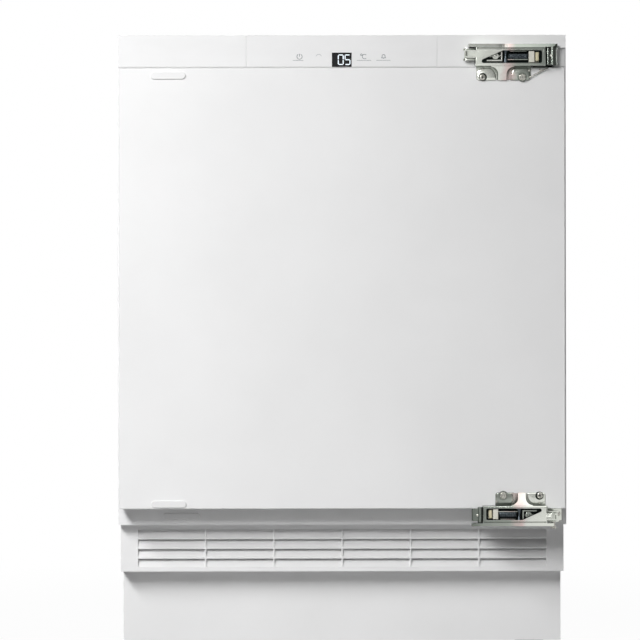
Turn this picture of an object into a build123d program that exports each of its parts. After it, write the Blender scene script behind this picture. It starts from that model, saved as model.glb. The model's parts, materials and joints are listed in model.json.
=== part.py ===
from build123d import *
import os
from dataclasses import dataclass

# Integrated undercounter freezer, in millimetres. X points right, Y to the back and Z up.
# The origin lies on the floor, under the centre of the whole appliance.

# Whole appliance
cabinet_width = 596.0
overall_height = 818.0
body_depth = 500.0
hinge_depth = 16.0
touch = 0.3

# Cabinet sheets
skin = 0.8
base_clearance = 24.0
base_sheet = 1.5
base_flange = 20.0
rear_recess = 28.0

# Freezing compartment: its insulated walls, each from the liner's inner face outwards
side_wall = 65.0
top_wall = 77.5
back_wall = 61.5
sill_height = 23.8
liner_wall = 1.5
ledge_width = 7.0
ledge_height = 6.0

# Machine space at the lower back
machine_depth = 213.0
machine_head_room = 12.0
step_insulation = 60.0

# Front, from the top down
fascia_height = 41.5
fascia_side_gap = 4.0
fascia_front_wall = 3.0
fascia_wall = 2.5
fascia_edge = 0.5
panel_seam = 0.4
control_panel_width = 250.4
notch_width = 45.0
notch_height = 24.6
door_top_seam = 1.1
rail_show = 24.1
rail_return = 23.0
grille_height = 63.9
grille_setback = 24.0
plinth_setback = 42.0
plinth_height = 96.7
plinth_bottom_z = 11.0
plinth_sheet = 2.0
plinth_return = 18.0
plinth_side_inset = 2.8
plinth_side_return = 42.0

# Vent grille
grille_depth = 12.0
grille_side_inset = 1.9
grille_return = 28.0
grille_return_sheet = 2.0
grille_columns = 6
grille_rows = 4
grille_side_border = 21.9
grille_top_border = 7.8
grille_low_border = 4.1
grille_rib = 2.0
blade_sheet = 1.8
blade_lip = 1.8
blade_lap = 1.5
blade_run = 9.5

# Door
door_side_gap = 4.8
door_depth = 42.0
door_gap = 8.0
door_sheet = 1.0
door_edge = 1.4
door_liner_sheet = 1.5
dyke_side_play = 3.0
dyke_low_play = 11.5
dyke_top_play = 10.4
dyke_depth = 12.0
dyke_round = 6.0
gasket_width = 20.0
gasket_inset_x = 31.0
gasket_inset_z = 5.0
gasket_base = 2.6
gasket_bulb = 11.0

# Cover caps: length, height and how far they sit in from the left edge and from the ends
cap_depth = 2.2
cap_edge = 0.8
door_cap_length = 46.0
door_cap_height = 9.3
door_cap_inset = 41.9
upper_cap_down = 14.9
lower_cap_up = 1.9
rail_cap_length = 49.5
rail_cap_height = 8.4
rail_cap_inset = 59.4
rail_cap_up = 7.2

# Display and control board
display_width = 25.8
display_height = 18.6
display_glass = 2.0
display_fit = 0.1
board_width = 112.0
board_height = 28.0
board_sheet = 1.6
board_standoff = 8.0
board_post_r = 2.5
board_post_inset = 6.0
board_edge = 8.0
transformer_width = 26.0
transformer_height = 18.0
transformer_depth = 16.0
relay_width = 18.0
relay_height = 15.0
relay_depth = 14.0
plug_row_width = 22.0
plug_row_height = 7.0
plug_row_depth = 9.0
plug_row_down = 4.5

# Hinge axis and the stamped hinge, measured on the upper hinge: along from the barrel, up from its base
hinge_axis_inset = 21.7
hinge_axis_out = 8.0
upper_hinge_rise = -0.2
upper_hinge_size = 0.986
lower_hinge_rise = 4.4
lower_hinge_size = 0.907
lower_pin_along = 112.0
hinge_sheet = 1.6
hinge_back_gap = 0.7
hinge_box_start = 9.5
hinge_box_end = 102.8
hinge_box_height = 29.2
hinge_box_round = 1.5
window_low = 3.6
window_high = 20.4
window_start = 14.5
window_end = 94.5
window_slope_start = 66.5
window_slope_low = 8.0
window_round = 2.4
strip_low = 25.0
strip_start = -6.4
strip_end = 112.0
barrel_r = 5.5
barrel_low = 4.2
barrel_high = 22.1
barrel_web = 3.0
pin_r = 2.5
pin_play = 0.05
fork_reach = 114.5
fork_r = 4.6
tongue_end = 117.6
tongue_low = 10.5
tongue_high = 20.8
tongue_slot_start = 113.7
tongue_slot_end = 116.0
tongue_slot_low = 13.0
fork_low = 7.5
fork_high = 20.8
fork_sheet = 2.4
tab_top = -1.0
tab_drop = 18.5
tab_round = 4.0
left_tab_start = 73.0
left_tab_end = 101.0
right_tab_start = 28.7
right_tab_end = 58.0
neck_start = 61.1
neck_end = 72.3
neck_flare = 9.7
neck_root_depth = 13.0
neck_foot_depth = 3.0
neck_root_up = 1.0
small_screw_along = 93.0
small_screw_down = 14.3
small_screw_r = 2.0
small_head_r = 4.2
small_head = 2.4
small_head_round = 1.44
large_screw_along = 40.0
large_screw_down = 14.3
large_screw_r = 2.5
large_head_r = 4.6
large_head = 3.6
large_head_round = 0.9
large_collar_r = 6.0
large_collar = 1.0
screw_play = 0.2
screw_bite = 12.0
socket_r = 2.2
socket_depth = 1.2
cross_length = 4.2
cross_arm = 1.05
cross_depth = 1.6

# Parts inside the hinge window
spring_r = 5.6
spring_start = 34.3
spring_end = 57.5
spring_up = 12.6
spring_round = 1.2
slider_start = 18.0
slider_end = 32.0
slider_low = 4.5
slider_high = 19.5
slider_round = 2.0
slider_slot = 2.0
slider_slot_floor = 3.0
spool_along = 62.5
spool_r = 3.8
spool_waist_r = 2.0
spool_rim = 4.0
spool_waist = 2.0
angle_start = 67.0
angle_length = 21.0
angle_foot = 8.2
angle_sheet = 2.0
angle_setback = 2.0

# Cabinet brackets of the hinges
bracket_sheet = 3.0
bracket_eye_r = 6.4
bracket_web_side = 1.0
bracket_foot_play = 2.5
bracket_screw_side = 8.0
bracket_screw_rise = 7.0
ear_sheet = 2.6
upper_ear_sheet = 2.3
arm_width = 7.0
arm_eye_r = 4.8
arm_foot_width = 30.0
arm_foot_height = 18.0
arm_screw_inset = 4.5
bracket_screw_r = 1.8
bracket_screw_head_r = 2.8
bracket_screw_head = 1.2
pin_head_r = 3.6
pin_head = 3.0

# Drawers
drawer_count = 3
drawer_side_play = 25.0
drawer_wall = 2.5
drawer_round = 14.0
drawer_lip = 3.0
drawer_lip_sheet = 2.0
drawer_front_side_play = 19.0
drawer_front_sheet = 3.0
drawer_front_round = 5.0
drawer_front_clearance = 9.0
drawer_back_clearance = 36.0
short_drawer_back_clearance = 6.0
drawer_head_room = 4.0
grip_width = 130.0
grip_height = 26.0
grip_round = 6.0
grip_down = 10.0
grip_lip = 3.0
grip_lip_height = 5.0
tub_front_cut = 45.0
tub_front_cut_side = 30.0

# Evaporator shelves
shelf_tube_r = 4.0
shelf_wire_r = 1.0
shelf_passes = 8
shelf_side_play = 3.0
shelf_front_clearance = 20.0
shelf_back_clearance = 22.0
shelf_wire_pitch = 18.0
weld = 0.4
bend_share = 0.47

# Compressor and the parts around it
compressor_x = -60.0
compressor_front_play = 23.0
compressor_length = 190.0
compressor_width = 150.0
compressor_height = 162.0
compressor_top_round = 28.0
compressor_bottom_round = 16.0
compressor_belt = 3.5
compressor_belt_height = 4.0
leg_plate = 3.0
leg_plate_length = 250.0
leg_plate_width = 128.0
leg_hole_inset = 14.0
grommet_height = 7.5
grommet_r = 12.0
grommet_neck_r = 6.0
grommet_cap_r = 9.0
grommet_cap = 7.0
starter_width = 76.0
starter_height = 56.0
starter_rise = 36.0
starter_depth = 25.0
tray_length = 200.0
tray_width = 140.0
tray_height = 22.0
tray_wall = 2.0

# Condenser
condenser_pitch = 34.0
condenser_side_gap = 83.0
condenser_top_gap = 66.0
condenser_tube_r = 2.4
condenser_wire_r = 0.8
condenser_wire_pitch = 18.0
condenser_wire_over = 14.0
condenser_off = 11.0
condenser_foot = 54.0
condenser_tail = 23.0
riser_gap = 17.0
outlet_gap = 65.0
clip_width = 12.0
clip_play = 2.0
clip_height = 16.0
clip_wall = 1.6
drier_r = 9.0
drier_length = 88.0
drier_chamfer = 5.0
discharge_up = 64.0
discharge_bend = 15.0
suction_r = 4.0
suction_up = 114.0
suction_out = 36.0
suction_bend = 20.0
capillary_r = 1.0
capillary_drop = 22.0
capillary_across = 50.0
capillary_forward = 34.0
capillary_bend = 10.0
inlet_width = 58.0
inlet_height = 44.0
inlet_depth = 24.0
inlet_side_gap = 68.0
inlet_rise = 10.0
inlet_recess_width = 25.0
inlet_recess_height = 20.0
inlet_recess_depth = 16.0
inlet_blade_length = 11.0
inlet_blade_sheet = 2.0
inlet_blade_height = 5.0
inlet_blade_pitch = 7.0
inlet_blade_step = 2.0

# Feet
foot_side_inset = 43.0
front_foot_inset = 32.0
rear_foot_inset = 36.0
foot_disc_r = 20.0
foot_disc = 8.0
foot_disc_round = 2.0
foot_hex = 17.0
stud_r = 5.0
stud_play = 0.08
stud_top_z = 84.0
socket_wall = 3.0
socket_height = 38.0

# Worktop fixing and sensor
worktop_hole_side = 48.0
worktop_hole_inset = 17.0
worktop_hole_r = 2.5
worktop_pocket = 12.0
sensor_width = 8.0
sensor_length = 40.0
sensor_height = 12.0
sensor_down = 30.0
sensor_inset = 270.0

# Planes worked out from the sizes above
half_width = cabinet_width / 2
inner_half = half_width - skin
front_y = -(hinge_depth + door_depth + door_gap + body_depth) / 2
door_front_y = front_y + hinge_depth
door_back_y = door_front_y + door_depth
frame_y = door_back_y + door_gap
rear_y = frame_y + body_depth
back_panel_y = rear_y - rear_recess
foam_back_y = back_panel_y - skin
grille_bottom_z = plinth_bottom_z + plinth_height
rail_bottom_z = grille_bottom_z + grille_height
door_bottom_z = rail_bottom_z + rail_show
cavity_half = half_width - side_wall
cavity_floor_z = door_bottom_z + sill_height
cavity_top_z = overall_height - top_wall
cavity_back_y = back_panel_y - back_wall
base_floor_z = base_clearance + base_sheet
leg_low_z = base_floor_z + grommet_height
compressor_bottom_z = leg_low_z + leg_plate
compressor_top_z = compressor_bottom_z + compressor_height
machine_front_y = rear_y - machine_depth
machine_top_z = compressor_top_z + tray_height + machine_head_room
compressor_y = machine_front_y + compressor_front_play + compressor_width / 2
step_front_y = machine_front_y - step_insulation - liner_wall
step_top_z = machine_top_z + step_insulation + liner_wall
frame_half = cavity_half + liner_wall
frame_top_z = cavity_top_z + liner_wall
frame_bottom_z = cavity_floor_z - liner_wall
foam_floor_z = rail_bottom_z + skin
foam_top_z = overall_height - skin
fascia_bottom_z = overall_height - fascia_height
door_top_z = fascia_bottom_z - door_top_seam
door_half = half_width - door_side_gap
fascia_half = half_width - fascia_side_gap
grille_y = frame_y + grille_setback
grille_half = half_width - grille_side_inset
plinth_y = grille_y + plinth_setback
plinth_half = half_width - plinth_side_inset
low_side_y = plinth_y + plinth_side_return
base_front_y = plinth_y + plinth_sheet
hinge_axis_x = half_width - hinge_axis_inset
hinge_axis_y = door_front_y - hinge_axis_out
notch_x = fascia_half - notch_width
bracket_web_x = hinge_axis_x + bracket_web_side
bracket_foot_x = notch_x + bracket_foot_play
shelf_pitch = (cavity_top_z - cavity_floor_z) / drawer_count
shelf_height = 2 * shelf_tube_r + 2 * shelf_wire_r
drawer_height = shelf_pitch - shelf_height - drawer_head_room
drawer_front_y = door_back_y + dyke_depth + drawer_front_clearance
tub_front_y = drawer_front_y + drawer_front_sheet
drawer_half = cavity_half - drawer_side_play
drawer_front_half = cavity_half - drawer_front_side_play
condenser_y = back_panel_y + condenser_off
condenser_half = half_width - condenser_side_gap
condenser_top_z = overall_height - condenser_top_gap
condenser_end_z = machine_top_z + condenser_foot
condenser_drop = condenser_top_z - condenser_end_z - condenser_tail
condenser_passes = int(condenser_drop // condenser_pitch) + 1
condenser_low_z = condenser_top_z - (condenser_passes - 1) * condenser_pitch
condenser_bend = condenser_pitch * bend_share
riser_x = condenser_half + riser_gap
outlet_x = condenser_half - outlet_gap
inlet_x = -half_width + inlet_side_gap
inlet_low_z = machine_top_z + inlet_rise
foot_x = half_width - foot_side_inset
front_foot_y = base_front_y + front_foot_inset
rear_foot_y = rear_y - rear_foot_inset
worktop_hole_y = frame_y + worktop_hole_inset


@dataclass(frozen=True)
class HingeSeat:
    """Where one hinge sits: its barrel's X, its base's Z, its size and its fork's eye along it."""

    x: float
    z: float
    size: float
    eye_along: float
    turned: bool

    @property
    def sign(self):
        """Direction of the hinge's own axes in the appliance."""
        return -1.0 if self.turned else 1.0

    def spot(self, along, up):
        """X and Z of a point given along and up on the upper hinge."""
        return self.x - self.sign * along * self.size, self.z + self.sign * up * self.size


upper_seat = HingeSeat(
    hinge_axis_x, fascia_bottom_z + upper_hinge_rise, upper_hinge_size, fork_reach, False
)
lower_seat = HingeSeat(
    hinge_axis_x - lower_pin_along * lower_hinge_size,
    door_bottom_z + lower_hinge_rise,
    lower_hinge_size,
    lower_pin_along,
    True,
)


def block(x0, x1, y0, y1, z0, z1):
    """Box between two opposite corners."""
    middle = Pos((x0 + x1) / 2, (y0 + y1) / 2, (z0 + z1) / 2)
    return middle * Box(abs(x1 - x0), abs(y1 - y0), abs(z1 - z0))


def rod_x(r, x0, x1, y, z):
    """Round bar along X."""
    return Pos((x0 + x1) / 2, y, z) * Rot(0, 90, 0) * Cylinder(r, abs(x1 - x0))


def rod_y(r, x, y0, y1, z):
    """Round bar along Y."""
    return Pos(x, (y0 + y1) / 2, z) * Rot(90, 0, 0) * Cylinder(r, abs(y1 - y0))


def rod_z(r, x, y, z0, z1):
    """Round bar along Z."""
    return Pos(x, y, (z0 + z1) / 2) * Cylinder(r, abs(z1 - z0))


def tube(points, bend, r):
    """Round pipe through the points, with one bend radius."""
    path = FilletPolyline(*points, radius=bend)
    start = Plane(origin=path @ 0, z_dir=path % 0)
    return sweep(start * Circle(r), path)


def prism_y(outline, y0, y1):
    """Outline given in X and Z, solid from y0 to y1."""
    face = make_face(Polyline(*[(x, y0, z) for x, z in outline], close=True))
    return extrude(face, amount=y1 - y0, dir=(0, 1, 0))


def prism_x(outline, x0, x1):
    """Outline given in Y and Z, solid from x0 to x1."""
    face = make_face(Polyline(*[(x0, y, z) for y, z in outline], close=True))
    return extrude(face, amount=x1 - x0, dir=(1, 0, 0))


def group(solids):
    """Separate solids in one node."""
    return Compound(children=[solid for one in solids for solid in one.solids()])


def front_edges(shape, y):
    """Edges that lie in the plane of the given Y."""
    return [edge for edge in shape.edges() if abs(edge.center().Y - y) < 1e-6]


# Cabinet


def cavity(grow):
    """Space of the freezing compartment, grown by a wall."""
    half = cavity_half + grow
    space = block(
        -half, half, frame_y, cavity_back_y + grow, cavity_floor_z - grow, cavity_top_z + grow
    )
    step = block(-half, half, step_front_y + grow, rear_y, base_clearance, step_top_z - grow)
    return space - step


def worktop_cuts(r, depth):
    """Two upright holes near the front of the top."""
    x = half_width - worktop_hole_side
    low = overall_height - depth
    return [rod_z(r, side * x, worktop_hole_y, low, overall_height) for side in (-1, 1)]


def side_panel(side):
    """Folded side wall with its front flange and toe recess."""
    outline = [
        (frame_y, overall_height),
        (rear_y, overall_height),
        (rear_y, base_clearance),
        (low_side_y, base_clearance),
        (low_side_y, grille_bottom_z),
        (grille_y + grille_return, grille_bottom_z),
        (grille_y + grille_return, rail_bottom_z),
        (frame_y, rail_bottom_z),
    ]
    wall = prism_x(outline, side * inner_half, side * half_width)
    flange = block(
        side * frame_half, side * inner_half, frame_y, frame_y + skin, frame_bottom_z, foam_top_z
    )
    return wall + flange


def top_panel():
    """Top sheet between the side walls, with the worktop fixing holes."""
    sheet = block(-inner_half, inner_half, frame_y, rear_y, foam_top_z, overall_height)
    for hole in worktop_cuts(worktop_hole_r, skin):
        sheet -= hole
    return sheet


def upper_front_rail():
    """Steel face above the compartment, which the gasket closes on."""
    return block(-frame_half, frame_half, frame_y, frame_y + skin, frame_top_z, foam_top_z)


def lower_front_rail():
    """Steel face below the compartment, with a return over the grille."""
    face = block(-inner_half, inner_half, frame_y, frame_y + skin, rail_bottom_z, frame_bottom_z)
    back = frame_y + rail_return
    lip = block(-inner_half, inner_half, frame_y, back, rail_bottom_z, rail_bottom_z + skin)
    return face + lip


def back_panel():
    """Rear sheet, bent forward over the machine space, down its front and on under the foam."""
    front = frame_y + rail_return
    outline = [
        (back_panel_y, foam_top_z),
        (back_panel_y, machine_top_z),
        (machine_front_y, machine_top_z),
        (machine_front_y, rail_bottom_z),
        (front, rail_bottom_z),
        (front, foam_floor_z),
        (machine_front_y - skin, foam_floor_z),
        (machine_front_y - skin, machine_top_z + skin),
        (foam_back_y, machine_top_z + skin),
        (foam_back_y, foam_top_z),
    ]
    return prism_x(outline, -inner_half, inner_half)


def insulation_foam():
    """Foam between the sheets and the liner, clear of the machine space."""
    foam = block(
        -inner_half, inner_half, frame_y + skin, foam_back_y, foam_floor_z, foam_top_z
    )
    foam -= cavity(liner_wall)
    front = machine_front_y - skin
    top = machine_top_z + skin
    foam -= block(-half_width, half_width, front, rear_y, base_clearance, top)
    for pocket in worktop_cuts(worktop_hole_r, worktop_pocket):
        foam -= pocket
    return foam


def shelf_top(level):
    """Height of the surface that a drawer rests on, counted from the floor of the liner."""
    return cavity_floor_z + level * shelf_pitch


def inner_liner():
    """Moulded liner with ledges under the evaporator shelves."""
    liner = cavity(liner_wall) - cavity(0)
    front = frame_y + shelf_front_clearance
    back = cavity_back_y - shelf_back_clearance
    for level in range(1, drawer_count):
        top = shelf_top(level) - shelf_height + weld
        for side in (-1, 1):
            inner = side * (cavity_half - ledge_width)
            liner += block(inner, side * cavity_half, front, back, top - ledge_height, top)
    return liner


def base_pan():
    """Base tray with upturned sides, a tongue behind the plinth and holes for the foot sockets."""
    sheet = block(-inner_half, inner_half, low_side_y, rear_y, base_clearance, base_floor_z)
    tongue = plinth_half - plinth_sheet
    sheet += block(-tongue, tongue, base_front_y, low_side_y, base_clearance, base_floor_z)
    top = base_floor_z + base_flange
    for side in (-1, 1):
        inner = side * (inner_half - base_sheet)
        sheet += block(inner, side * inner_half, low_side_y, rear_y, base_floor_z, top)
    for x, y in foot_places():
        sheet -= rod_z(stud_r + socket_wall, x, y, base_clearance, base_floor_z)
    return sheet


def fascia(x0, x1, notched=False):
    """Hollow fascia moulding, open at the back."""
    shape = block(x0, x1, door_front_y, frame_y, fascia_bottom_z, overall_height)
    hollow = block(
        x0 + fascia_wall,
        x1 - fascia_wall,
        door_front_y + fascia_front_wall,
        frame_y,
        fascia_bottom_z + fascia_wall,
        overall_height - fascia_wall,
    )
    shape = fillet(front_edges(shape, door_front_y), fascia_edge)
    if notched:
        left = notch_x
        top = fascia_bottom_z + notch_height
        shape -= block(left, x1, door_front_y, frame_y, fascia_bottom_z, top)
        hollow -= block(
            left - fascia_wall, x1, door_front_y, frame_y, fascia_bottom_z, top + fascia_wall
        )
    return shape - hollow


def fascia_left():
    """Plain left piece of the fascia."""
    return fascia(-fascia_half, -control_panel_width / 2 - panel_seam)


def fascia_right():
    """Right piece of the fascia, notched for the hinge bracket."""
    return fascia(control_panel_width / 2 + panel_seam, fascia_half, notched=True)


def board_posts():
    """Places of the four posts of the control board."""
    x = board_width / 2 - board_post_inset
    z = fascia_bottom_z + fascia_height / 2
    rise = board_height / 2 - board_post_inset
    return [(side * x, z + level * rise) for side in (-1, 1) for level in (-1, 1)]


def control_panel():
    """Middle piece of the fascia, with the display pocket and board posts."""
    panel = fascia(-control_panel_width / 2, control_panel_width / 2)
    half = display_width / 2 + display_fit
    top = fascia_bottom_z + display_height + display_fit
    panel -= block(
        -half, half, door_front_y, door_front_y + display_glass, fascia_bottom_z, top
    )
    wall_y = door_front_y + fascia_front_wall
    for x, z in board_posts():
        panel += rod_y(board_post_r, x, wall_y, wall_y + board_standoff, z)
    return panel


def display_window():
    """Dark pane, flush with the control panel."""
    half = display_width / 2
    top = fascia_bottom_z + display_height
    return block(
        -half, half, door_front_y, door_front_y + display_glass, fascia_bottom_z, top
    )


def control_board():
    """Circuit board on the posts, with its relay, transformer and plug row."""
    y = door_front_y + fascia_front_wall + board_standoff
    z = fascia_bottom_z + fascia_height / 2
    half = board_width / 2
    rise = board_height / 2
    board = block(-half, half, y, y + board_sheet, z - rise, z + rise)
    back = y + board_sheet
    start = -half + board_edge
    low = z - transformer_height / 2
    board += block(
        start, start + transformer_width, back, back + transformer_depth, low, low + transformer_height
    )
    end = half - board_edge
    low = z - relay_height / 2
    board += block(end - relay_width, end, back, back + relay_depth, low, low + relay_height)
    side = plug_row_width / 2
    low = z - plug_row_down - plug_row_height / 2
    board += block(-side, side, back, back + plug_row_depth, low, low + plug_row_height)
    return board


def vent_grille():
    """Louvred grille with four sloped blades in each of six columns, and a return at each side."""
    back = grille_y + grille_depth
    body = block(-grille_half, grille_half, grille_y, back, grille_bottom_z, rail_bottom_z)
    top = rail_bottom_z - grille_top_border
    low = grille_bottom_z + grille_low_border
    left = -grille_half + grille_side_border
    column_pitch = -2 * left / grille_columns
    row_pitch = (top - low) / grille_rows
    for column in range(grille_columns):
        start = left + column * column_pitch + grille_rib / 2
        end = start + column_pitch - grille_rib
        body -= block(start, end, grille_y, back, low, top)
    head_y = grille_y + blade_run
    for row in range(grille_rows):
        head = top - row * row_pitch + blade_lap
        foot = top - (row + 1) * row_pitch
        outline = [
            (head_y, head),
            (head_y, head - blade_sheet),
            (grille_y + blade_sheet, foot),
            (grille_y, foot),
            (grille_y, foot + blade_lip),
        ]
        body += prism_x(outline, left, -left)
    for side in (-1, 1):
        inner = side * (grille_half - grille_return_sheet)
        end_y = grille_y + grille_return
        body += block(inner, side * grille_half, back, end_y, grille_bottom_z, rail_bottom_z)
    soffit_top = grille_bottom_z + fascia_wall
    body += block(-grille_half, grille_half, back, base_front_y, grille_bottom_z, soffit_top)
    return body


def plinth_panel():
    """Recessed plinth with a return along its lower edge and one at each side."""
    face = block(
        -plinth_half, plinth_half, plinth_y, base_front_y, plinth_bottom_z, grille_bottom_z
    )
    back = base_front_y + plinth_return
    top = plinth_bottom_z + plinth_sheet
    face += block(-plinth_half, plinth_half, base_front_y, back, plinth_bottom_z, top)
    for side in (-1, 1):
        inner = side * (plinth_half - plinth_sheet)
        outer = side * plinth_half
        face += block(inner, outer, base_front_y, low_side_y, plinth_bottom_z, grille_bottom_z)
    return face


def cover_cap(left, low, length, height, face_y):
    """Pill-shaped cap proud of the face behind it."""
    outline = SlotOverall(length, height)
    middle = (left + length / 2, face_y, low + height / 2)
    seat = Plane(origin=middle, x_dir=(1, 0, 0), z_dir=(0, -1, 0))
    cap = extrude(seat * outline, amount=cap_depth)
    return fillet(front_edges(cap, face_y - cap_depth), cap_edge)


def rail_cover_cap():
    """Cap on the lower front rail."""
    left = -half_width + rail_cap_inset
    low = rail_bottom_z + rail_cap_up
    return cover_cap(left, low, rail_cap_length, rail_cap_height, frame_y)


def temperature_sensor():
    """Sensor housing on the right wall of the liner, level with the top drawer."""
    x = cavity_half
    y = frame_y + sensor_inset
    top = cavity_top_z - sensor_down
    return block(x - sensor_width, x, y, y + sensor_length, top - sensor_height, top)


# Evaporator shelves


def wire_row(reach, pitch):
    """X of evenly spaced wires on both sides of the middle, within the reach."""
    pairs = int(reach // pitch)
    return [number * pitch for number in range(-pairs, pairs + 1)]


def evaporator_shelf(level):
    """Serpentine tube with wires welded across it, front to back."""
    z = shelf_top(level) - 2 * shelf_wire_r - shelf_tube_r + weld
    front = frame_y + shelf_front_clearance + shelf_tube_r
    back = cavity_back_y - shelf_back_clearance - shelf_tube_r
    pitch = (back - front) / (shelf_passes - 1)
    side = cavity_half - shelf_side_play - shelf_tube_r
    bend = pitch * bend_share
    points = []
    for turn in range(shelf_passes):
        y = front + turn * pitch
        ends = (-side, side) if turn % 2 == 0 else (side, -side)
        points += [(x, y, z) for x in ends]
    shelf = tube(points, bend, shelf_tube_r)
    wire_z = z + shelf_tube_r + shelf_wire_r - weld
    front_end, back_end = front - shelf_tube_r, back + shelf_tube_r
    wires = [
        rod_y(shelf_wire_r, x, front_end, back_end, wire_z)
        for x in wire_row(side - bend, shelf_wire_pitch)
    ]
    return shelf + wires


# Machine space


def compressor():
    """Hermetic shell with its weld belt and leg plate."""
    a = compressor_length / 2
    b = compressor_width / 2
    floor = Plane(origin=(compressor_x, compressor_y, compressor_bottom_z))
    height = compressor_top_z - compressor_bottom_z
    shell = extrude(floor * Ellipse(a, b), amount=height)
    rims = shell.edges().sort_by(Axis.Z)
    shell = fillet(rims[-1], compressor_top_round)
    shell = fillet(shell.edges().sort_by(Axis.Z)[0], compressor_bottom_round)
    middle = (compressor_bottom_z + compressor_top_z) / 2
    belt_plane = Plane(origin=(compressor_x, compressor_y, middle))
    belt = extrude(
        belt_plane * Ellipse(a + compressor_belt, b + compressor_belt),
        amount=compressor_belt_height,
    )
    half = leg_plate_length / 2
    wide = leg_plate_width / 2
    legs = block(
        compressor_x - half,
        compressor_x + half,
        compressor_y - wide,
        compressor_y + wide,
        leg_low_z,
        compressor_bottom_z,
    )
    for x, y in grommet_places():
        legs -= rod_z(grommet_neck_r, x, y, 0, compressor_top_z)
    return shell + belt + legs


def grommet_places():
    """Corners of the leg plate where the rubber feet sit."""
    dx = leg_plate_length / 2 - leg_hole_inset
    dy = leg_plate_width / 2 - leg_hole_inset
    return [
        (compressor_x + side * dx, compressor_y + end * dy) for side in (-1, 1) for end in (-1, 1)
    ]


def compressor_grommets():
    """Four rubber feet under and through the leg plate."""
    feet = []
    for x, y in grommet_places():
        foot = rod_z(grommet_r, x, y, base_floor_z, leg_low_z)
        foot += rod_z(grommet_neck_r, x, y, leg_low_z, compressor_bottom_z)
        foot += rod_z(
            grommet_cap_r, x, y, compressor_bottom_z, compressor_bottom_z + grommet_cap
        )
        feet.append(foot)
    return group(feet)


def starter_box():
    """Starting relay housing on the back of the compressor."""
    half = starter_width / 2
    low = compressor_bottom_z + starter_rise
    box = block(
        compressor_x - half,
        compressor_x + half,
        compressor_y,
        compressor_y + compressor_width / 2 + starter_depth,
        low,
        low + starter_height,
    )
    grow = compressor_belt + touch
    floor = Plane(origin=(compressor_x, compressor_y, compressor_bottom_z))
    shell = Ellipse(compressor_length / 2 + grow, compressor_width / 2 + grow)
    return box - extrude(floor * shell, amount=compressor_top_z - compressor_bottom_z)


def drip_tray():
    """Open tray on top of the compressor."""
    x = tray_length / 2
    y = tray_width / 2
    low = compressor_top_z
    outer = block(
        compressor_x - x,
        compressor_x + x,
        compressor_y - y,
        compressor_y + y,
        low,
        low + tray_height,
    )
    hollow = block(
        compressor_x - x + tray_wall,
        compressor_x + x - tray_wall,
        compressor_y - y + tray_wall,
        compressor_y + y - tray_wall,
        low + tray_wall,
        low + tray_height,
    )
    return outer - hollow


def condenser_tube():
    """Serpentine on the back, with its riser and its outlet."""
    points = [(riser_x, condenser_y, condenser_end_z), (riser_x, condenser_y, condenser_top_z)]
    for turn in range(condenser_passes):
        z = condenser_top_z - turn * condenser_pitch
        start, end = condenser_half, -condenser_half
        if turn % 2 == 1:
            start, end = end, start
        if turn > 0:
            points.append((start, condenser_y, z))
        if turn == condenser_passes - 1:
            end = outlet_x
        points.append((end, condenser_y, z))
    points.append((outlet_x, condenser_y, condenser_end_z))
    return tube(points, condenser_bend, condenser_tube_r)


def condenser_wires():
    """Upright wires on both sides of the condenser tube."""
    wires = []
    low = condenser_low_z - condenser_wire_over
    high = condenser_top_z + condenser_wire_over
    off = condenser_tube_r + condenser_wire_r
    for x in condenser_wire_row():
        for side in (-1, 1):
            wires.append(rod_z(condenser_wire_r, x, condenser_y + side * off, low, high))
    return group(wires)


def condenser_wire_row():
    """X of the condenser's wires, which leave room for the clips beside the bends."""
    reach = condenser_half - condenser_bend - clip_width - 2 * clip_play
    return wire_row(reach, condenser_wire_pitch)


def condenser_clips():
    """Spacers between the back panel and three of the condenser passes."""
    clips = []
    bend_start = condenser_half - condenser_bend
    x0 = (condenser_wire_row()[-1] + bend_start - clip_width) / 2
    for turn in (0, condenser_passes // 2, condenser_passes - 2):
        z = condenser_top_z - turn * condenser_pitch
        low, high = z - clip_height / 2, z + clip_height / 2
        for side in (-1, 1):
            clip = block(
                side * x0,
                side * (x0 + clip_width),
                back_panel_y,
                condenser_y + condenser_tube_r + clip_wall,
                low,
                high,
            )
            clips.append(clip - condenser_channel(z))
    return group(clips)


def condenser_channel(z):
    """Space that one pass of the condenser tube takes in a clip."""
    return rod_x(condenser_tube_r, -half_width, half_width, condenser_y, z)


def discharge_pipe():
    """Pipe from the compressor to the foot of the condenser riser."""
    z = compressor_bottom_z + discharge_up
    points = [
        (riser_x, condenser_y, condenser_end_z),
        (riser_x, condenser_y, z),
        (riser_x, compressor_y, z),
        (compressor_x + compressor_length / 2 + touch, compressor_y, z),
    ]
    return tube(points, discharge_bend, condenser_tube_r)


def suction_pipe():
    """Pipe from the foam above down to the compressor."""
    x = compressor_x - compressor_length / 2 - touch
    z = compressor_bottom_z + suction_up
    points = [
        (x, compressor_y, z),
        (x - suction_out, compressor_y, z),
        (x - suction_out, compressor_y, machine_top_z),
    ]
    return tube(points, suction_bend, suction_r)


def filter_drier():
    """Drier cartridge under the outlet of the condenser."""
    low = condenser_end_z - drier_length
    body = rod_z(drier_r, outlet_x, condenser_y, low, condenser_end_z)
    rims = [edge for edge in body.edges() if edge.geom_type == GeomType.CIRCLE]
    return chamfer(rims, drier_chamfer)


def capillary_tube():
    """Thin tube from the drier up into the foam."""
    low = condenser_end_z - drier_length
    x = outlet_x - capillary_across
    y = condenser_y - capillary_forward
    points = [
        (outlet_x, condenser_y, low),
        (outlet_x, condenser_y, low - capillary_drop),
        (x, condenser_y, low - capillary_drop),
        (x, y, low - capillary_drop),
        (x, y, machine_top_z),
    ]
    return tube(points, capillary_bend, capillary_r)


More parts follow.
